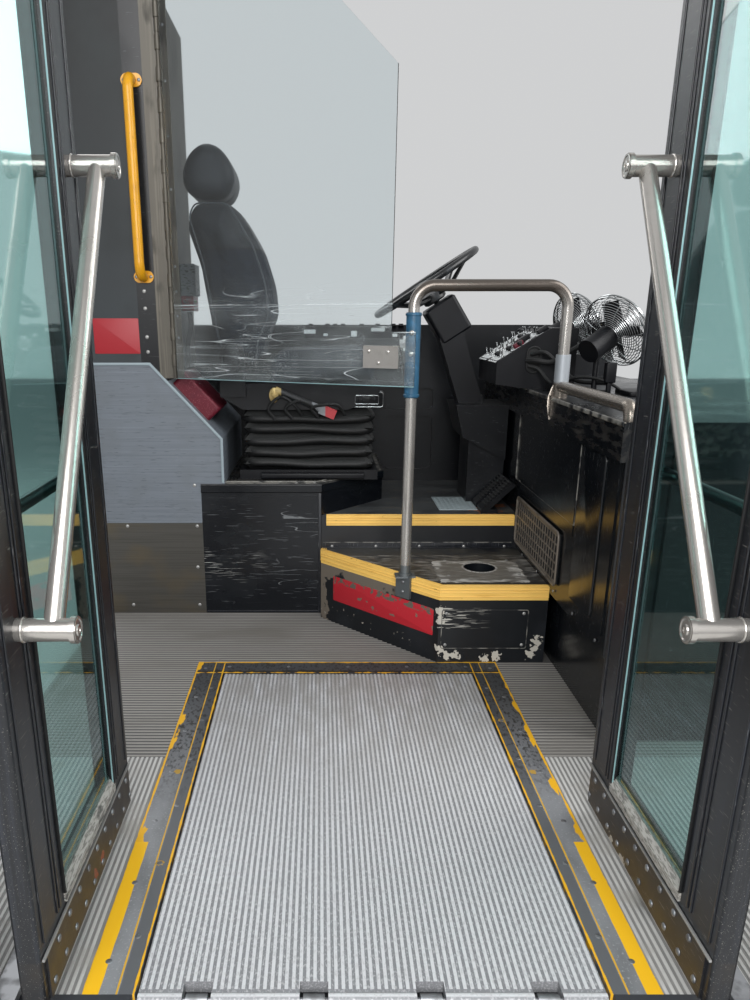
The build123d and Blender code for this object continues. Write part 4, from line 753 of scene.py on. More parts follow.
FINISHES = (
    (UNDERFRAME, "floor_deck"),
    (ENTRY_VINYL, "floor_mat_entry"),
    (AISLE_VINYL, "floor_mat_aisle"),
    (RAMP_TREAD, "ramp_plate"),
    (RAMP_STRIP, "ramp_frame"),
    (ZINC, "ramp_hinge", "door_shaft_front", "door_shaft_rear"),
    (BLACK_EXTRUSION, "door_post_front", "door_post_rear", "door_header"),
    (LEAF_FRAME, "leaf_frame_front", "leaf_frame_rear"),
    (TINTED_GLASS, "leaf_glass_front", "leaf_glass_rear"),
    (YELLOW_TUBE, "grab_handle"),
    (BLACK_ENAMEL, "column_housing", "side_wall", "partition_post"),
    (BOX_ENAMEL, "seat_box"),
    (PLATFORM_TOP, "foot_platform"),
    (STEP_ENAMEL, "farebox_plinth"),
    (CABINET_ENAMEL, "front_cabinet"),
    (GRILLE_PAINT_AND_SHADE, "cabinet_grille"),
    (YELLOW_NOSING, "step_nosing", "plinth_nosing"),
    (GREY_COVER, "wheelhouse_cover"),
    (SKIRT_SHEET, "wheelhouse_skirt"),
    (PARTITION_LAMINATE, "partition_panel"),
    (BEIGE_PANEL, "bulkhead"),
    (HINGE_ALLOY, "barrier_hinge", "barrier_frame"),
    (CLEAR_SHEET, "barrier_sheet"),
    (STAINLESS, "barrier_latch", "leaf_handle_front", "leaf_handle_rear"),
    (POLE_STEEL, "stanchion"),
    (RAIL_STEEL, "cabinet_rail"),
    (BLUE_SLEEVE, "stanchion_sleeve"),
    (BLACK_ABS, "seat_pan", "seat_base", "dash_pod", "side_console", "steering_column", "pedals",
     "fan_stand_1", "fan_stand_2", "fan_rotor_1", "fan_rotor_2"),
    (WHEEL_RIM, "steering_wheel"),
    (CHROME_WIRE, "fan_guard_1", "fan_guard_2"),
    (BELLOWS_RUBBER, "seat_bellows"),
    (SEAT_CLOTH, "seat_cushion", "seat_back", "headrest"),
    (BELT_STALK, "seat_buckle"),
    (RED_CASE, "first_aid_case"),
    (CALL_BOX_CASE, "call_box"),
)
for made, *names in FINISHES:
    for name in names:
        for held in NODES[name].material_slots:
            held.material = made


# Floor and ramp

ENTRY_PITCH, ENTRY_RIB = 12, 8
AISLE_PITCH, AISLE_RIB = 16, 9.5
RIB_HEIGHT = 1.4
UNDER_CABINET = 666


def ribbed_floor():
    """Vinyl floor: ribs run inwards beside the ramp, and across the aisle past the ramp."""
    entry, aisle, strip = span("floor_mat_entry"), span("floor_mat_aisle"), span("ramp_frame")
    cabinet, plinth = span("front_cabinet"), span("farebox_plinth")
    low, base = entry[0, 2], entry[1, 2] - RIB_HEIGHT
    shells = []
    for left, right in ((entry[0, 0], strip[0, 0]), (strip[1, 0], entry[1, 0])):
        x = np.arange(left + ENTRY_PITCH / 2, right, ENTRY_PITCH)
        shells += [brick((left, entry[0, 1], low), (right, entry[1, 1], base), 1, 0.2),
                   ribs(row(x, entry[0, 1], base), row(x, entry[1, 1], base), ENTRY_RIB, RIB_HEIGHT)]
    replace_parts(piece("entry_flooring", join(*shells), ENTRY_VINYL), "floor_mat_entry")

    knee, corner = STEP_PATH[0], (STEP_PATH[1][0], strip[1, 1])
    rear = [(aisle[0, 0], aisle[0, 1]), (strip[0, 0], aisle[0, 1]), (strip[0, 0], strip[1, 1]), corner,
            knee, (knee[0], aisle[1, 1]), (aisle[0, 0], aisle[1, 1])]
    front = [(strip[1, 0], aisle[0, 1]), (aisle[1, 0], aisle[0, 1]), (aisle[1, 0], cabinet[0, 1]),
             (UNDER_CABINET, cabinet[0, 1]), (UNDER_CABINET, aisle[1, 1]), (plinth[1, 0], aisle[1, 1]),
             (plinth[1, 0], strip[1, 1]), (strip[1, 0], strip[1, 1])]
    y = np.arange(aisle[0, 1] + AISLE_PITCH / 2, aisle[1, 1], AISLE_PITCH)
    slant = np.interp(y, [corner[1], knee[1]], [corner[0], knee[0]])
    rear_end = np.where(y < strip[1, 1], strip[0, 0], slant)
    beside = y[y < strip[1, 1]]
    front_end = np.where(beside < cabinet[0, 1], aisle[1, 0], UNDER_CABINET)
    shells = [prism(rear, UP, low, base), prism(front, UP, low, base),
              ribs(row(aisle[0, 0], y, base), row(rear_end, y, base), AISLE_RIB, RIB_HEIGHT),
              ribs(row(strip[1, 0], beside, base), row(front_end, beside, base), AISLE_RIB, RIB_HEIGHT)]
    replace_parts(piece("aisle_flooring", join(*shells), AISLE_VINYL), "floor_mat_aisle")


def ramp_screws():
    """Screws along the strips beside the ramp and past it."""
    y, x = np.arange(150, 1400, 205), np.arange(-380, 400, 190)
    side = np.concatenate([row(456, y, 0.1), row(418, y + 60, 0.1)])
    places = np.concatenate([side, side * [-1, 1, 1], row(x, 1392, 0.1)])
    piece("ramp_screws", many(dome(6, 1.1), places), ZINC)


# Door leaves

# Faces of a leaf's frame and kick plate across the ramp, and its glass opening in y and z
LEAF_FACE, LEAF_BACK, KICK_FACE = 514, 552, 510
GLASS_Y, GLASS_Z = (135, 465), (156, 1960)
STILE_LINES = (30, 96, 108, 492, 504, 570)
STUB_ENDS = {"lower": (428, 78, 650), "upper": (428, 524, 1310)}
STUB_LENGTH = 78
CAP_PROFILE = ((0.5, 0.7), (3.6, 0.8), (4, 2.8), (8, 2.6), (9, 0.5), (14.5, 0.6), (16, 1.8), (19, 1.6),
               (19, 1), (17.5, 0), (0.5, 0))
WELD_PROFILE = ((17.2, 0), (18.6, 1), (18.9, 2.4), (18.2, 4), (17.2, 4.6))


def leaf_trim(side, way):
    """Rubber, beads, scraped ledge, glass edge, rivets, brush and stub caps of a leaf.

    They are worked out on the front leaf. The rear one's are scaled by a way of -1 across the ramp.
    """
    body = "leaf_" + side

    def on_leaf(name, shell, made):
        """A piece that rides on this leaf."""
        piece(f"{body}_{name}", scaled(shell, (way, 1, 1)), made, body)

    (y0, y1), (z0, z1) = GLASS_Y, GLASS_Z
    edge = rounded(y1 - y0 + 2, z1 - z0 + 2, 7) + [(y0 + y1) / 2, (z0 + z1) / 2]
    rings = [sweep(row(x, *edge.T), rounded(5, 6, 1.6, 3), X, closed=True)
             for x in (LEAF_FACE - 1.5, LEAF_BACK + 1.5)]
    on_leaf("glazing_rubber", join(*rings), BELLOWS_RUBBER)

    beads = [brick((LEAF_FACE - 2.5, y - 2.5, 150), (LEAF_FACE + 1, y + 2.5, 2050), 2.4, 1.2)
             for y in STILE_LINES]
    on_leaf("stile_beads", join(*beads), BLACK_EXTRUSION)

    inner, outer = LEAF_FACE - 4.6, LEAF_FACE + 14.8
    section = [(z0 + 20, outer), (z0 + 1, inner), (z0 - 15, inner), (z0 - 15, outer)]
    on_leaf("scraped_ledge", prism(section, INWARD, y0 - 2, y1 + 2), SCRAPED_LEDGE)

    # Pale cyan line along the glass's far edge: a painted glow
    line = brick((LEAF_FACE - 2, y1 - 2.6, z0 + 4), (LEAF_FACE + 1, y1 + 0.6, z1 - 4), 0.9, 0.3)
    on_leaf("glass_edge_glow", line, SHEET_EDGE)

    y = np.arange(48, 572, 58)
    places = np.concatenate([row(KICK_FACE, y, 62), row(KICK_FACE, y[1:] - 24, 112)])
    on_leaf("rivets", studs(7, 3.2, -X, places), ZINC)
    trim = brick((KICK_FACE - 1.5, 12, 128.5), (KICK_FACE + 3, 588, 132.5), 1, 0.5)
    on_leaf("kick_plate_edges", trim, ALUMINIUM)

    y = np.arange(24, 578, 5)
    tuft = brick((-7, -1.8, -16), (7, 1.8, 0), 1.5, 0.5)
    on_leaf("foot_brush", many(tuft, row(LEAF_FACE + 19, y, 44)), BRISTLES)

    cap, weld = lathe(CAP_PROFILE, 32), lathe(WELD_PROFILE, 28)
    for end, at in STUB_ENDS.items():
        bits = join(facing(cap, at, -X), facing(weld, at + X * STUB_LENGTH, -X))
        on_leaf(f"{end}_stub_cap", bits, STAINLESS)


# Driver's seat


def plump(name, shell, body, stands_for, voxel=0.007, pressure=4.0, cap=0.012):
    """Closed form blown up as a sewn cover is: remeshed, puffed by cloth, and held within a cap."""
    obj = piece(name, shell, SEAT_CLOTH, body, 180)
    remesh = obj.modifiers.new("even_grid", "REMESH")
    remesh.mode, remesh.voxel_size = "VOXEL", voxel
    settle(obj)
    rest = coordinates(obj)
    cloth = obj.modifiers.new("puffed", "CLOTH")
    cloth.settings.use_pressure = True
    cloth.settings.uniform_pressure_force = pressure
    cloth.settings.effector_weights.gravity = 0
    cloth.settings.tension_stiffness = 40
    cloth.settings.compression_stiffness = 40
    for moment in range(1, 21):
        bpy.context.scene.frame_set(moment)
    settle(obj)
    moved = coordinates(obj) - rest
    far = np.linalg.norm(moved, axis=1)[:, None]
    held = rest + moved * np.minimum(1, cap / np.maximum(far, 1e-9))
    obj.data.vertices.foreach_set("co", held.astype(np.float32).ravel())
    obj.data.update()
    bpy.context.scene.frame_set(1)
    smooth = obj.modifiers.new("rounded", "SUBSURF")
    smooth.levels = smooth.render_levels = 1
    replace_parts(obj, stands_for)


def coordinates(obj):
    """The points of an object's mesh, one in each row."""
    found = np.empty(len(obj.data.vertices) * 3, np.float32)
    obj.data.vertices.foreach_get("co", found)
    return found.reshape(-1, 3)


def settle(obj):
    """Keeps what the modifiers make as the object's own mesh."""
    seen = obj.evaluated_get(bpy.context.evaluated_depsgraph_get())
    mesh = bpy.data.meshes.new_from_object(seen)
    obj.modifiers.clear()
    obj.data = mesh
    mesh.polygons.foreach_set("use_smooth", np.ones(len(mesh.polygons), bool))


def even(outline, count):
    """Closed outline resampled to points at even distances along it."""
    closed = np.concatenate([outline, outline[:1]])
    along = np.concatenate([[0], np.cumsum(np.linalg.norm(np.diff(closed, axis=0), axis=1))])
    at = np.arange(count) * along[-1] / count
    return np.stack([np.interp(at, along, closed[:, k]) for k in (0, 1)], 1)


def rounded_outline(points, passes):
    """Closed outline through points, with its corners rounded off by passes of neighbour averages."""
    outline = even(np.array(points, float), OUTLINE_POINTS)
    for _ in range(passes):
        outline = (np.roll(outline, 1, 0) + 2 * outline + np.roll(outline, -1, 0)) / 4
    return outline


def inwards(outline):
    """Unit directions square to a closed outline, pointing into it."""
    nudge = np.roll(outline, -1, 0) - np.roll(outline, 1, 0)
    square = np.stack([-nudge[:, 1], nudge[:, 0]], 1) / np.linalg.norm(nudge, axis=1)[:, None]
    return square * np.sign(np.sum(square * (outline.mean(0) - outline)))


def welt(points, y, inset, radius=2.6):
    """Piping: a tube round an outline shrunk by inset, at one side of a pad."""
    outline = rounded_outline(points, SOFT)
    x, z = (outline + inwards(outline) * inset).T
    return sweep(row(x, y, z), ring(radius, 8), Y, closed=True)


def bolstered(points, y0, y1, puff, passes, rows=15, margin=6):
    """Pad across the seat: an x-z outline carried from y0 to y1, shrunk near both ends along a
    quarter circle, so that its sides are rounded over."""
    outline = rounded_outline(points, passes)
    turn = np.linspace(0, np.pi / 2, rows)
    depth = np.concatenate([1 - np.sin(turn), (1 - np.sin(turn))[::-1]]) * puff + margin
    level = np.concatenate([y0 + margin + (1 - np.cos(turn)) * puff,
                            (y1 - margin - (1 - np.cos(turn)) * puff)[::-1]])
    flat = outline + inwards(outline) * depth[:, None, None]
    return skin(row(flat[..., 0], level[:, None], flat[..., 1]))


# Points round each outline, and the passes that round it off: a little, or nearly to an oval
OUTLINE_POINTS = 96
SOFT, ROUND = 3, 24
BACK_OUTLINE = ((-432, 905), (-300, 905), (-296, 985), (-252, 1070), (-262, 1180), (-300, 1300),
                (-350, 1385), (-392, 1450), (-520, 1450), (-548, 1395), (-505, 1250), (-462, 1000))
HEADREST_OUTLINE = ((-515, 1450), (-405, 1450), (-372, 1515), (-382, 1570), (-430, 1632), (-490, 1645),
                    (-545, 1605), (-572, 1540), (-562, 1480))
WELT_INSET = 15


def seat():
    """Cushion, back with its piping, and headrest."""
    low, high = span("seat_cushion")
    profile = ((low[0], low[2]), (high[0] - 10, low[2]), (high[0], low[2] + 40),
               (high[0] - 8, high[2] - 18), (high[0] - 60, high[2]), (low[0] + 60, high[2] - 12),
               (low[0], high[2] - 30))
    plump("seat_cushion_pad", bolstered(profile, low[1], high[1], 34, SOFT), "seat", "seat_cushion")
    low, high = span("seat_back")
    plump("seat_back_pad", bolstered(BACK_OUTLINE, low[1], high[1], 46, SOFT), "back", "seat_back")
    sides = (welt(BACK_OUTLINE, y, WELT_INSET) for y in (low[1] + WELT_INSET, high[1] - WELT_INSET))
    piece("seat_back_piping", join(*sides), PIPING, "back")
    low, high = span("headrest")
    plump("headrest_pad", bolstered(HEADREST_OUTLINE, low[1], high[1], 44, ROUND), "back", "headrest")


# Steering wheel and fans

WHEEL_CENTRE, WHEEL_RADIUS, WHEEL_TILT = np.array((306, 2225, 1193)), 222, radians(33)
FANS = (("1", (864, 1725, 1028), 31, 27), ("2", (898, 2262, 1044), 24, 20))


def steering_wheel():
    """Rim, bowed spokes and hub: a circle and curves carried round the wheel's tilted plane."""
    axis = np.array((-np.sin(WHEEL_TILT), 0, np.cos(WHEEL_TILT)))
    ahead = np.array((np.cos(WHEEL_TILT), 0, np.sin(WHEEL_TILT)))
    rim_r, hub_low, hub_high, count = 14, -80, -40, 18

    def at(way, out, up):
        """A place in the wheel: so far out along a way round it, and so far up its axis."""
        return WHEEL_CENTRE + out * (np.cos(way) * ahead + np.sin(way) * Y) + up * axis

    circle = at(np.arange(96)[:, None] * 2 * np.pi / 96, WHEEL_RADIUS - rim_r, 0)
    shells = [sweep(circle, ring(rim_r, 18) * [1, 0.92], axis, closed=True)]
    for way in radians(45) + np.arange(4) * radians(90):
        bowed = curve([at(way, 20, hub_low + 20), at(way, 90, hub_low + 28), at(way, 155, -24),
                       at(way, WHEEL_RADIUS - rim_r, 0)], count)
        shells.append(sweep(bowed, rounded(30, 10, 4.5, 4), axis, scale=np.linspace(1.3, 0.8, count)))
    hub = lathe([(0.5, hub_low), (34, hub_low), (44, hub_low + 6), (48, hub_high - 12), (46, hub_high - 4),
                 (30, hub_high + 1), (0.5, hub_high + 2)], 40)
    shells.append(facing(hub, WHEEL_CENTRE, axis, Y))
    made = piece("steering_wheel_rim", join(*shells), WHEEL_RIM, "wheel", 40)
    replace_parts(made, "steering_wheel")


def fan_cage(number, centre, heading, lift):
    """Wire basket: rings on a shallow dome in front and behind, crossed by wires that follow it."""
    radius, half, wire, hub, collar = 118, 40, 1.3, 20, 38
    heading, lift = radians(heading), radians(lift)
    blow = np.array((np.cos(lift) * np.cos(heading), np.cos(lift) * np.sin(heading), np.sin(lift)))
    turn = np.arange(72) * 2 * np.pi / 72

    def on_dome(way, r, side):
        """A place on the front or the rear dome, r from its axis: it closes in on the rim by a cube."""
        height = half * np.sqrt(np.clip(1 - ((r - hub) / (radius - hub)) ** 3, 0, 1))
        return row(r * np.cos(way), r * np.sin(way), side * height)

    shells = []
    for side, inner in ((1, hub), (-1, collar)):
        for r in np.linspace(inner, radius - wire, 13):
            thick = 2.2 * wire if r > radius - 2 * wire else wire
            shells.append(sweep(on_dome(turn, r, side), ring(thick, 6), Z, closed=True))
        for way in np.arange(12) * radians(30):
            line = on_dome(way, np.linspace(inner, radius - wire, 9), side)
            shells.append(sweep(line, ring(wire, 5), np.array((-np.sin(way), np.cos(way), 0))))
    badge = lathe([(0.5, half + 2), (hub - 2, half + 2), (hub + 1, half), (hub + 1, half - 3),
                   (0.5, half - 3)], 28)
    made = piece(f"fan_cage_{number}", facing(join(*shells, badge), centre, blow), CHROME_WIRE,
                 sharp=50)
    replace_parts(made, f"fan_guard_{number}")


# Driver's platform and fare box step

# Corners of the seat box and of the step from the rear, the aisle faces of the partition and of the
# step, the riser of the driver's floor, and the step's top with its port and pole
BOX_PATH = ((-522, 1895), (-86, 1895), (157, 2182), (157, 2568))
STEP_PATH = ((-86, 1843), (292, 1430), (638, 1430))
WALL_FACE, STEP_FACE, RISER_FACE = 1895, 1430, 1895
STEP_TOP, PORT, POLE = 257, (455, 1640), (191, 1542)


def platform_trim():
    """Worn angle, mat ribs, rivets and corner strips of the seat box."""
    top = span("seat_box")[1, 2]
    angle = join(strip_along(BOX_PATH, top + 1, 20, 2, 16, 0.8),
                 strip_along(BOX_PATH, top + 3.4, 3.4, 5, 28, 1))
    piece("seat_box_angle", angle, WORN_EDGE_AND_HIGHLIGHT)
    x = np.arange(-500, 130, 14)
    near = np.interp(x, *np.array(BOX_PATH[1:3]).T) + 42
    piece("seat_box_mat_ribs", ribs(row(x, near, top), row(x, 2560, top), 9, 2.2), BOX_ENAMEL)
    rivets = row(np.linspace(-500, -110, 7), WALL_FACE + 16, top + 2)
    piece("seat_box_rivets", many(dome(5, 1.8), rivets), ALUMINIUM)
    post = join(brick((-96, 1891, 0), (-84, 1896, top - 34), 2, 1),
                brick((-520, 1893, 2), (-88, 1895.5, 8), 1, 0.5, INWARD))
    piece("seat_box_corner_strip", post, BLACK_EXTRUSION)


def nosing_ribs():
    """Raised lines along the yellow edges of both steps."""
    plinth, step = span("plinth_nosing"), span("step_nosing")
    bent = [(-86, 1893), *STEP_PATH]
    straight = [(step[0, 0] + 1, step[0, 1]), (step[1, 0] - 1, step[0, 1])]
    shells = [strip_along(bent, plinth[1, 2] - down, 3, 3, -0.6, 1.4) for down in (9, 18, 33)]
    shells += [strip_along(bent, plinth[1, 2] + 0.5, 4, 2, gap, 0.9) for gap in (7, 13, 19)]
    shells += [strip_along(straight, step[1, 2] - down, 3, 3, -0.6, 1.4) for down in (8, 16, 29)]
    shells += [strip_along(straight, step[1, 2] + 0.4, 3, 1.6, gap, 0.7) for gap in (6, 11, 16)]
    piece("nosing_ribs", join(*shells), YELLOW_NOSING)


def step_details():
    """Blank label, panel line, port rim, riser angle, screws and pole bolts of the fare box step."""
    start, stop = np.array(STEP_PATH[:2], float)
    length = np.linalg.norm(stop - start)
    run = (stop - start) / length
    out = np.array((run[1], -run[0], 0))

    def on_slant(share, z, proud):
        """A place on the step's slanted face, by its share of the length, and how far it is proud."""
        return np.append(start + run * length * share, z) + out * proud

    label = facing(pad(length * 0.84, 92, 1.0, 4, 0.3), on_slant(0.54, 132, -0.2), out)
    piece("step_label_blank", label, WORN_LABEL)

    panel = np.array((440, STEP_FACE, 114))
    line = facing(framed(276, 132, 3, 2.4, 6), panel - Y * 0.4, -Y)
    piece("plinth_panel_line", line, WORN_EDGE_AND_HIGHLIGHT)
    rim = sweep(row(*ring(57, 48).T, 0.6), rounded(7, 2.4, 1, 3), Z, closed=True)
    piece("fare_box_port_rim", many(rim, (*PORT, STEP_TOP)), SCRAPED_LEDGE)

    rear, front, face = -80, 620, RISER_FACE
    angle = join(brick((rear, face - 3.6, 244), (front, face + 0.4, 278), 1.5, 0.8, INWARD),
                 brick((rear, face - 15, STEP_TOP), (front, face, STEP_TOP + 2.4), 1, 0.5))
    piece("riser_angle", angle, BLACK_EXTRUSION)
    # Pale flecked line along the riser's top edge: a painted highlight
    line = brick((rear, face - 4.2, 275.6), (front, face - 2, 278.4), 0.9, 0.3, INWARD)
    piece("riser_edge_highlight", line, WORN_EDGE_AND_HIGHLIGHT)

    corners = [panel + (sx * 124, 0, sz * 54) for sx in (-1, 1) for sz in (-1, 1)]
    around = [(PORT[0] + 118 * sx, PORT[1] + 88 * sy, STEP_TOP)
              for sx, sy in ((-1, -1), (1, -0.9), (0.95, 1), (-0.9, 0.95))]
    riser = row((-45, 118, 279, 444, 594), face - 3.6, 262)
    screws = join(studs(5.5, 2.2, -Y, corners), many(dome(6, 1.6), around), studs(5.5, 2.4, -Y, riser))
    piece("plinth_screws", screws, ALUMINIUM)
    share = np.dot(POLE - start, run) / length
    bolts = studs(6.5, 4, out, [on_slant(share, z, 9) for z in (240, 206)])
    piece("pole_foot_bolts", bolts, ZINC)


# Wheelhouse, partition and barrier

SLOPE_PATH = ((-915, 921), (-677, 921), (-435, 660), (-435, 500))
WALL_SCREWS = ((-545, 490), (-542, 338), (-799, 338), (-799, 30), (-547, 30), (-900, 200), (-547, 180),
               *((-682, z) for z in (956, 1005, 1098, 1153, 1400, 1700, 2000)))


def wheelhouse_trim():
    """Edge strip down the cover's slope, seam over the skirt, screws, and the blank red plate."""
    strip = reordered(strip_along(SLOPE_PATH, 0, 9, 4, -5.5, 1.4), (0, 2, 1))
    piece("cover_edge_strip", many(strip, (0, WALL_FACE - 1.5, 0)), EDGE_STRIP)
    seam = brick((-920, 1892.6, 350), (-523, 1895.2, 356), 1, 0.5, INWARD)
    piece("skirt_seam", seam, GREY_COVER)
    heads = studs(6.5, 2.2, -Y, [(x, WALL_FACE, z) for x, z in WALL_SCREWS])
    piece("cover_screws", heads, ALUMINIUM)
    plate = facing(pad(156, 116, 1.2, 3, 0.4), (-786, WALL_FACE + 0.1, 1008), -Y)
    piece("red_plate_blank", plate, RED_PLATE)


def handle_screws():
    """Two screws in each flange of the yellow handle."""
    low, high = span("grab_handle")
    centre = (low[0] + high[0]) / 2
    places = [(x, high[1] - 6, z) for x in (centre - 24, centre + 24) for z in (low[2] + 19, high[2] - 19)]
    piece("handle_screws", studs(5.5, 2.4, -Y, places), ZINC)


def first_aid_cord():
    """Grey white cord of the first-aid case, which lies on the cover's slope."""
    path = curve([(-604, 1975, 870), (-594, 1985, 836), (-566, 1985, 828), (-540, 1985, 838),
                  (-522, 1990, 842)], 26)
    piece("first_aid_cord", sweep(path, ring(2.6, 7), Y), LABEL_WHITE)


def barrier_trim():
    """Hinge barrels, screws of the swinging frame and of the latch, and the sheet's lower edge."""
    low, high = span("barrier_hinge")
    hinge, turn = np.array((-590, 1887, 0)), radians(-25.7)
    along, out = np.array((np.cos(turn), np.sin(turn), 0)), np.array((np.sin(turn), -np.cos(turn), 0))

    def reach(node, far):
        """How far a node's aisle face lies from the plane through the hinge's axis."""
        return (hinge[1] + far * along[1] - span(node)[0, 1]) / -out[1]

    z = np.arange(low[2] + 40, high[2] - 40, 86)
    barrel = lathe([(0.5, 0), (9, 0), (10, 1), (10, 40), (9, 41), (0.5, 41)], 20)
    piece("hinge_barrels", many(barrel, hinge + Z * z[:, None]), HINGE_ALLOY)
    z = np.array([1003, 1073, 1151, 1229, 1461, 1614, 1767, 1917, 2010])
    heads = hinge + along * 24 + out * reach("barrier_frame", 40) + Z * z[:, None]
    piece("hinge_screws", studs(5.5, 2.2, out, heads), ZINC, "barrier")
    face = hinge + out * reach("barrier_latch", 826)
    heads = [face + along * far + Z * z for far, z in ((730, 972), (792, 970), (761, 938))]
    piece("latch_screws", studs(6.5, 3, out, heads), STAINLESS, "barrier")
    outer = reach("barrier_sheet", 872)
    # Pale cyan line along the sheet's lower edge: a painted glow
    edge = facing(brick((14, 868, outer - 6.3), (872, 870, outer + 0.3), 0.8, 0.3), hinge, out)
    piece("sheet_lower_edge_glow", edge, SHEET_EDGE, "barrier")


def rail_trim():
    """Bolts and end bands of the blue sleeve, and the strap under the low rail."""
    low, high = span("stanchion_sleeve")
    heads = studs(8, 5, -Y, row(POLE[0] - 6, POLE[1] - 21, (low[2] + 130, low[2] + 190)))
    piece("sleeve_bolts", heads, STAINLESS)
    collar = lathe([(22.4, 0), (24.5, 1.5), (24.5, 7), (22.4, 8.5), (22.4, 0.4)], 36)
    piece("sleeve_end_bands", many(collar, row(*POLE, (low[2] + 2, high[2] - 10))), BLUE_SLEEVE)
    path = curve([(644, 1558, 884), (628, 1558, 852), (620, 1552, 815), (627, 1546, 768)], 18)
    piece("rail_strap", sweep(path, rounded(15, 6, 2.5, 3), Y), RAIL_STEEL)


# Cabinet, dash and driver's foot area

CABINET_FACE = 636.4
# Radius of each cable on the cabinet, and the points that it runs through
FAN_CABLES = (
    (9, [(612, 1844, 930), (640, 1820, 930), (690, 1796, 928), (736, 1770, 962), (790, 1752, 1000)]),
    (7, [(618, 1844, 912), (650, 1826, 902), (676, 1800, 868), (700, 1760, 850), (790, 1720, 846)]),
    (7, [(624, 1844, 950), (668, 1812, 956), (720, 1790, 905), (760, 1740, 870), (830, 1650, 870)]),
    (5, [(700, 1780, 842), (740, 1720, 880), (790, 1660, 884), (836, 1640, 868), (880, 1650, 842)]))


def cabinet_trim():
    """Lines round the cabinet's panels and grille, their screws, its worn edge, and what lies on it."""
    line = facing(framed(714, 243, 4.5, 5, 8), (CABINET_FACE, 1605, 625.5), -X)
    seam = sweep(row(CABINET_FACE, (1246, 1130, 1014), (506, 530, 560)), rounded(4, 4.5, 1.6, 3), Z)
    piece("cabinet_panel_lines", join(line, seam), WORN_EDGE_AND_HIGHLIGHT)
    grille = facing(framed(532, 166, 9, 6, 18), (629.5, 1623.5, 368), -X)
    piece("grille_frame_line", grille, GRILLE_PAINT_AND_SHADE)
    y, z = np.array([(1275, 488), (1275, 718), (1862, 488), (1862, 718), (1568, 718), (1568, 488),
                     (966, 312), (966, 726), (1216, 312), (1216, 726)]).T
    heads = np.concatenate([row(CABINET_FACE, y, z), row(633.5, np.arange(980, 1800, 200), 262)])
    piece("cabinet_screws", studs(5, 2, -X, heads), ZINC)
    lip = brick((621.4, 923, 824), (628, 1842, 836.4), 2.5, 1.4, INWARD)
    piece("cabinet_top_edge", lip, WORN_EDGE_AND_HIGHLIGHT)
    # Gloss black panel put where the pocket's recess lies in deep shade: painted shade
    pocket = brick((629, 1030, 300), (637, 1222, 742), 20, 4, AHEAD)
    piece("cabinet_pocket_shade_panel", pocket, CABINET_ENAMEL)
    cables = (sweep(curve(points, 30), ring(radius, 9), Z) for radius, points in FAN_CABLES)
    piece("fan_cables", join(*cables), BELLOWS_RUBBER)
    switch = join(brick((812, 1626, 872), (846, 1654, 934), 5, 3),
                  brick((822, 1634, 835), (836, 1648, 880), 3, 2))
    piece("fan_switch_box", switch, BLACK_ABS)
    boxes = join(brick((676, 1700, 834), (742, 1812, 862), 8, 4),
                 brick((870, 1560, 834), (960, 1700, 850), 8, 4))
    piece("cabinet_top_boxes", boxes, BLACK_ABS)


def toggle(height=24, lean=0.35):
    """Chromed toggle switch on z: hexagon nut, and a long lever that leans back."""
    nut = lathe([(0.5, -1), (8, -1), (8, 3), (0.5, 4)], 6)
    points, loops, sizes = lathe([(0.5, 3), (3, 3), (2, 8), (3.6, height - 2), (0.5, height)], 6)
    return join(nut, (points + X * points[:, 2:] * lean, loops, sizes))


def knob(radius, height):
    """Round push knob on a short stem, on z."""
    return lathe([(0.5, -1), (radius * 0.5, -1), (radius * 0.5, height * 0.4), (radius, height * 0.5),
                  (radius * 1.02, height * 0.8), (radius * 0.8, height), (0.5, height * 1.05)], 20)


def dash_controls():
    """Toggles, blank label plates, knobs and rockers on the pod's slope, and the grommet in its side."""
    near, far = 1843, 2152
    foot, crest = np.array((512, 0, 925)), np.array((690, 0, 1035))
    along = (crest - foot) / np.linalg.norm(crest - foot)
    out = np.array((-along[2], 0, along[0]))

    def on_pod(share, y):
        """A place on the pod's slope, by its share of the way up."""
        return foot + (crest - foot) * share + Y * y

    def planted(shell, places):
        """Copies of a shell that stand on the pod's slope at places."""
        return many(facing(shell, ORIGIN, out, Y), places)

    share, y = np.meshgrid((0.13, 0.3, 0.47, 0.64, 0.81), np.linspace(near + 20, far - 22, 9), indexing="ij")
    kind = (np.arange(y.size) * 7 + np.arange(y.size) // 9 * 4) % 5
    places = np.array([on_pod(s, v) for s, v in zip(share.ravel(), y.ravel())])
    piece("dash_toggles", planted(toggle(), places[kind < 3]), CHROME_WIRE)
    plates = join(planted(pad(33, 21, 1.8, 1.5, 0.4), places[kind != 3] - along * 16),
                  planted(pad(24, 28, 1.8, 1.5, 0.4), places[kind == 3]))
    piece("dash_label_plates", plates, LABEL_WHITE)
    piece("dash_knobs", planted(knob(9, 18), places[kind == 4][::2]), BLACK_ABS)
    block = join(pad(52, 30, 18, 4, 2), many(pad(40, 24, 16, 3, 2), (64, -34, 0)))
    piece("dash_rocker_block", planted(block, on_pod(0.58, near + 66)), BLACK_ABS)
    piece("dash_rocker_red", planted(pad(34, 26, 16, 3, 2), on_pod(0.45, near + 34)), RED_CASE)
    bezel = planted(framed(203, 302, 4, 5, 8), on_pod(0.5, (near + far) / 2) + out * 0.5)
    piece("dash_bezel", bezel, BLACK_ABS)
    grommet = facing(framed(46, 84, 7, 8, 22), (636, near - 1, 932), -Y)
    piece("dash_grommet", grommet, BELLOWS_RUBBER)
    # Black pad filling the grommet's hole: painted shade inside it
    hole = facing(pad(44, 82, 1.4, 21.5, 0.3), (636, near + 0.4, 932), -Y)
    piece("dash_hole_shade", hole, BELLOWS_RUBBER)


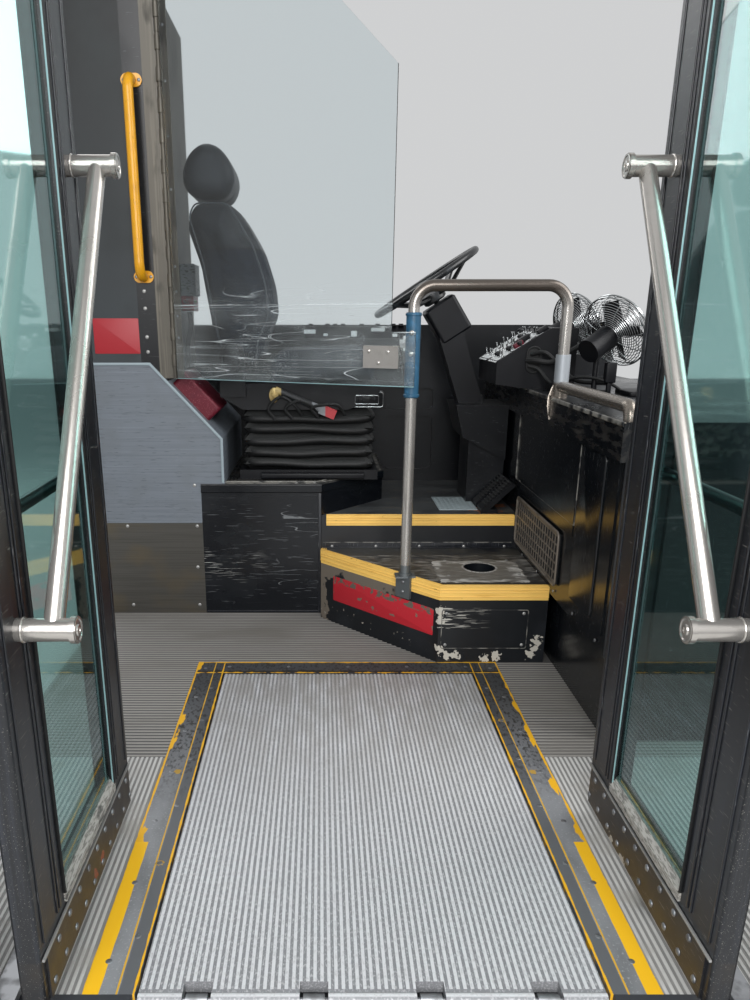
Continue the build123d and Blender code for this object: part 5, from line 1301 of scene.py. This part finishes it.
def pedal_ribs():
    """Ribbed rubber on both treadles, and the aluminium tread plate behind them."""
    lean = radians(46)
    along, out = np.array((np.cos(lean), 0, np.sin(lean))), np.array((-np.sin(lean), 0, np.cos(lean)))
    shells = []
    for y0, y1 in ((1925, 2005), (2030, 2105)):
        bar = facing(pad(y1 - y0 - 12, 6, 3, 2, 1), (508, (y0 + y1) / 2, 394), out, along)
        shells.append(many(bar, along * np.arange(22, 148, 13)[:, None] - out))
    piece("pedal_ribs", join(*shells), BELLOWS_RUBBER)

    pitch = 18
    x, y = np.meshgrid(np.arange(370, 500, pitch), np.arange(1990, 2205, pitch))
    places = row(x.ravel(), y.ravel(), 379.4)
    odd = (np.round(x.ravel() / pitch) + np.round(y.ravel() / pitch)) % 2 == 0
    lozenge = scaled(lathe([(0.4, 0), (7, 0), (5, 1), (0.4, 1.4)], 4), (1, 0.35, 1))
    plate = join(brick((360, 1983, 377.6), (507, 2214, 379.6), 4, 0.6), many(lozenge, places[odd]),
                 many(reordered(lozenge, (1, 0, 2)), places[~odd]))
    piece("foot_tread_plate", plate, TREAD_PLATE)


def seat_details():
    """Bellows folds and tray, recliner cover, lever box, belt bracket and hoses of the driver's seat.

    A fold is a rounded outline swept with a lens section; it sags by a sine of the way round it.
    """
    low, high = span("seat_bellows")
    middle, size = (low + high) / 2, high - low
    lens = ((-16, -13), (4, -16), (12, -9), (14, -2), (11, 6), (2, 12), (-16, 15))
    folds = []
    for i, level in enumerate(low[2] + np.array((24, 66, 108, 150, 190))):
        edge = even(rounded(size[0] - 6 - 7 * (i % 2), size[1] - 4 - 6 * (i % 2), 50, 8), 88)
        way = np.arctan2(edge[:, 1], edge[:, 0])
        sag = level + 3.4 * np.sin(2 * way + 1.9 * i) + 2.2 * np.sin(5 * way + i)
        folds.append(sweep(row(*(edge + middle[:2]).T, sag), lens, Z, closed=True))
    piece("bellows_folds", join(*folds), BELLOWS_RUBBER, sharp=50)
    tray = brick((low[0] + 60, low[1] - 26, low[2] - 30), (high[0] - 30, low[1] + 8, low[2] - 8), 5, 2, AHEAD)
    piece("bellows_tray", tray, BLACK_ABS)

    cover = scaled(lathe([(0.5, 0), (40, 0), (44, 3), (42, 12), (34, 17), (0.5, 19)], 40), (0.72, 1.25, 1))
    at = (-400, span("seat_pan")[0, 1] - 1, 930)
    piece("recliner_cover", facing(cover, at, -Y), BLACK_ABS, "seat")
    case = join(brick((16, 1974, 758), (142, 1994, 818), 10, 4, INWARD),
                brick((34, 1966, 770), (124, 1976, 806), 6, 2, INWARD))
    piece("seat_lever_box", case, BLACK_ABS, "seat")
    knobs = many(facing(knob(9, 12), ORIGIN, -Y), [(56, 1968, 788), (100, 1968, 792)])
    piece("seat_lever_knobs", knobs, BLACK_ABS, "seat")
    line = join(facing(framed(118, 52, 2.6, 4, 9), (79, 1971.5, 788), -Y),
                facing(framed(84, 30, 2, 3, 5), (79, 1965, 788), -Y))
    piece("seat_lever_frame", line, CHROME_WIRE, "seat")
    tongue = lathe([(0.5, 0), (26, 0), (28, 1), (28, 3.4), (26, 4.4), (0.5, 4.4)], 24)
    eye = lathe([(0.5, 3), (9, 3), (9.6, 5), (8, 7), (0.5, 7.4)], 16)
    bracket = facing(join(scaled(tongue, (0.6, 0.95, 1)), eye), (-254, 1948, 806), -Y)
    piece("belt_bracket", bracket, BRASS, "seat")
    hoses = [sweep(curve([(x, 1956, 716 + 6 * i), (x - 24, 1944, 760), (x + 20, 1940, 800 - 14 * i),
                          (x + 70, 1944, 770), (x + 96, 1960, 734)], 26), ring(5.5, 7), X)
             for i, x in enumerate((-250, -190, -96))]
    piece("seat_hoses", join(*hoses), BELLOWS_RUBBER, "seat")


def console_details():
    """Rocker switches, blank plates and a bracket, in uneven places on the side console."""
    low, high = span("side_console")
    rocker = join(pad(24, 38, 6, 4, 1.5), pad(18, 30, 10, 4, 2))
    places = row((-128, -58, -26, 6, 84, 150, 214, 246, 300), (low[1] + high[1]) / 2, high[2] - 5)
    piece("console_rockers", many(rocker, places), BLACK_ABS)
    plates = [facing(pad(wide, tall, 3, 3, 1), (x, low[1] + 1, z), -Y)
              for x, wide, tall, z in ((-131, 48, 16, 1014), (-66, 18, 10, 1002), (50, 24, 22, 1006),
                                       (148, 56, 14, 1022), (218, 20, 12, 1000), (266, 26, 60, 968))]
    piece("console_plates", join(*plates), LABEL_WHITE)
    bracket = join(brick((238, low[1] - 3, 950), (294, low[1] + 2, 984), 2, 1, INWARD),
                   studs(4, 2, -Y, [(250, low[1] - 3, 967), (282, low[1] - 3, 967)]))
    piece("console_bracket", bracket, ALUMINIUM)


def call_box_details():
    """Lamps of the electronics box on the bulkhead, and its three cables."""
    wall = -619
    lamps = studs(5, 3, X, [(wall + 45.6, y, 1128) for y in (2306, 2336)])
    piece("call_box_lamps", lamps, GREEN_LENS)
    cables = [sweep(curve([(wall + 20, y, 1096), (wall + 22, y + 4, 1040 - 8 * i), (wall + 12, y - 16, 985),
                           (wall + 6, y - 10, 930), (wall + 4, y, 880)], 30), ring(4.5, 8), X)
              for i, y in enumerate((2300, 2332, 2368))]
    piece("call_box_cables", join(*cables), BLACK_ABS)


ribbed_floor()
ramp_screws()
leaf_trim("front", 1)
leaf_trim("rear", -1)
seat()
steering_wheel()
for facts in FANS:
    fan_cage(*facts)
for dress in (platform_trim, nosing_ribs, step_details, wheelhouse_trim, handle_screws, first_aid_cord,
              barrier_trim, rail_trim, cabinet_trim, dash_controls, pedal_ribs, seat_details,
              console_details, call_box_details):
    dress()


# Camera, light and ground


def stand(name, data, at, turned):
    """Puts a camera or a lamp at a place in the bus frame."""
    made = bpy.data.objects.new(name, data)
    made.location = ZERO + np.array(at) / 1000
    made.rotation_euler = turned
    bpy.context.scene.collection.objects.link(made)
    return made


def camera():
    """The photograph's view: low in the doorway, looking up the ramp."""
    made = bpy.data.cameras.new("camera")
    made.lens = 28.8
    made.shift_x, made.shift_y = 0.054, 0.08
    made.clip_end = 60
    bpy.context.scene.camera = stand("camera", made, (-85.8, -970, 1067), (radians(71.87), 0, 0))


def lamp(name, at, aim, size, power):
    """Square area lamp at a place in the bus frame, aimed at another."""
    made = bpy.data.lights.new(name, "AREA")
    made.size = size
    made.energy = power
    stand(name, made, at, Vector(np.array(aim) - np.array(at)).to_track_quat("-Z", "Y").to_euler())


def surroundings():
    """Even grey light, with a pale background for the camera, for gloss and through glass."""
    world = bpy.data.worlds.new("studio")
    bpy.context.scene.world = world
    world.use_nodes = True
    tree = world.node_tree
    tree.nodes.clear()
    path = add(tree, "ShaderNodeLightPath")
    seen = path.outputs["Is Camera Ray"]
    for ray in ("Is Glossy Ray", "Is Transmission Ray"):
        seen = add(tree, "ShaderNodeMath", {0: seen, 1: path.outputs[ray]}, operation="MAXIMUM")
    hue = add(tree, "ShaderNodeMix", {"Factor": seen, "A": "#b4b8bd", "B": "#f6f7f8"}, data_type="RGBA")
    sky = add(tree, "ShaderNodeBackground", {"Color": hue, "Strength": 0.68})
    out = add(tree, "ShaderNodeOutputWorld")
    tree.links.new(sky.outputs[0], out.inputs["Surface"])


def ground():
    """Plain pale floor under the deck."""
    low, half = CAD_BOX[0].z, 14.0
    mesh = bpy.data.meshes.new("ground")
    mesh.from_pydata([(-half, -half, low), (half, -half, low), (half, half, low), (-half, half, low)],
                     [], [(0, 1, 2, 3)])
    mesh.materials.append(material("studio_floor", "#bebebc", 0.9))
    made = bpy.data.objects.new("ground", mesh)
    bpy.context.scene.collection.objects.link(made)


camera()
surroundings()
ground()
lamp("door_light", (-200, -2600, 2500), (0, 900, 350), 2.8, 235)
lamp("front_light", (2600, 900, 2600), (500, 1700, 700), 2.4, 80)
lamp("back_light", (-1900, 3900, 3000), (-200, 2100, 900), 2.4, 45)
bpy.context.scene.view_settings.view_transform = "Standard"
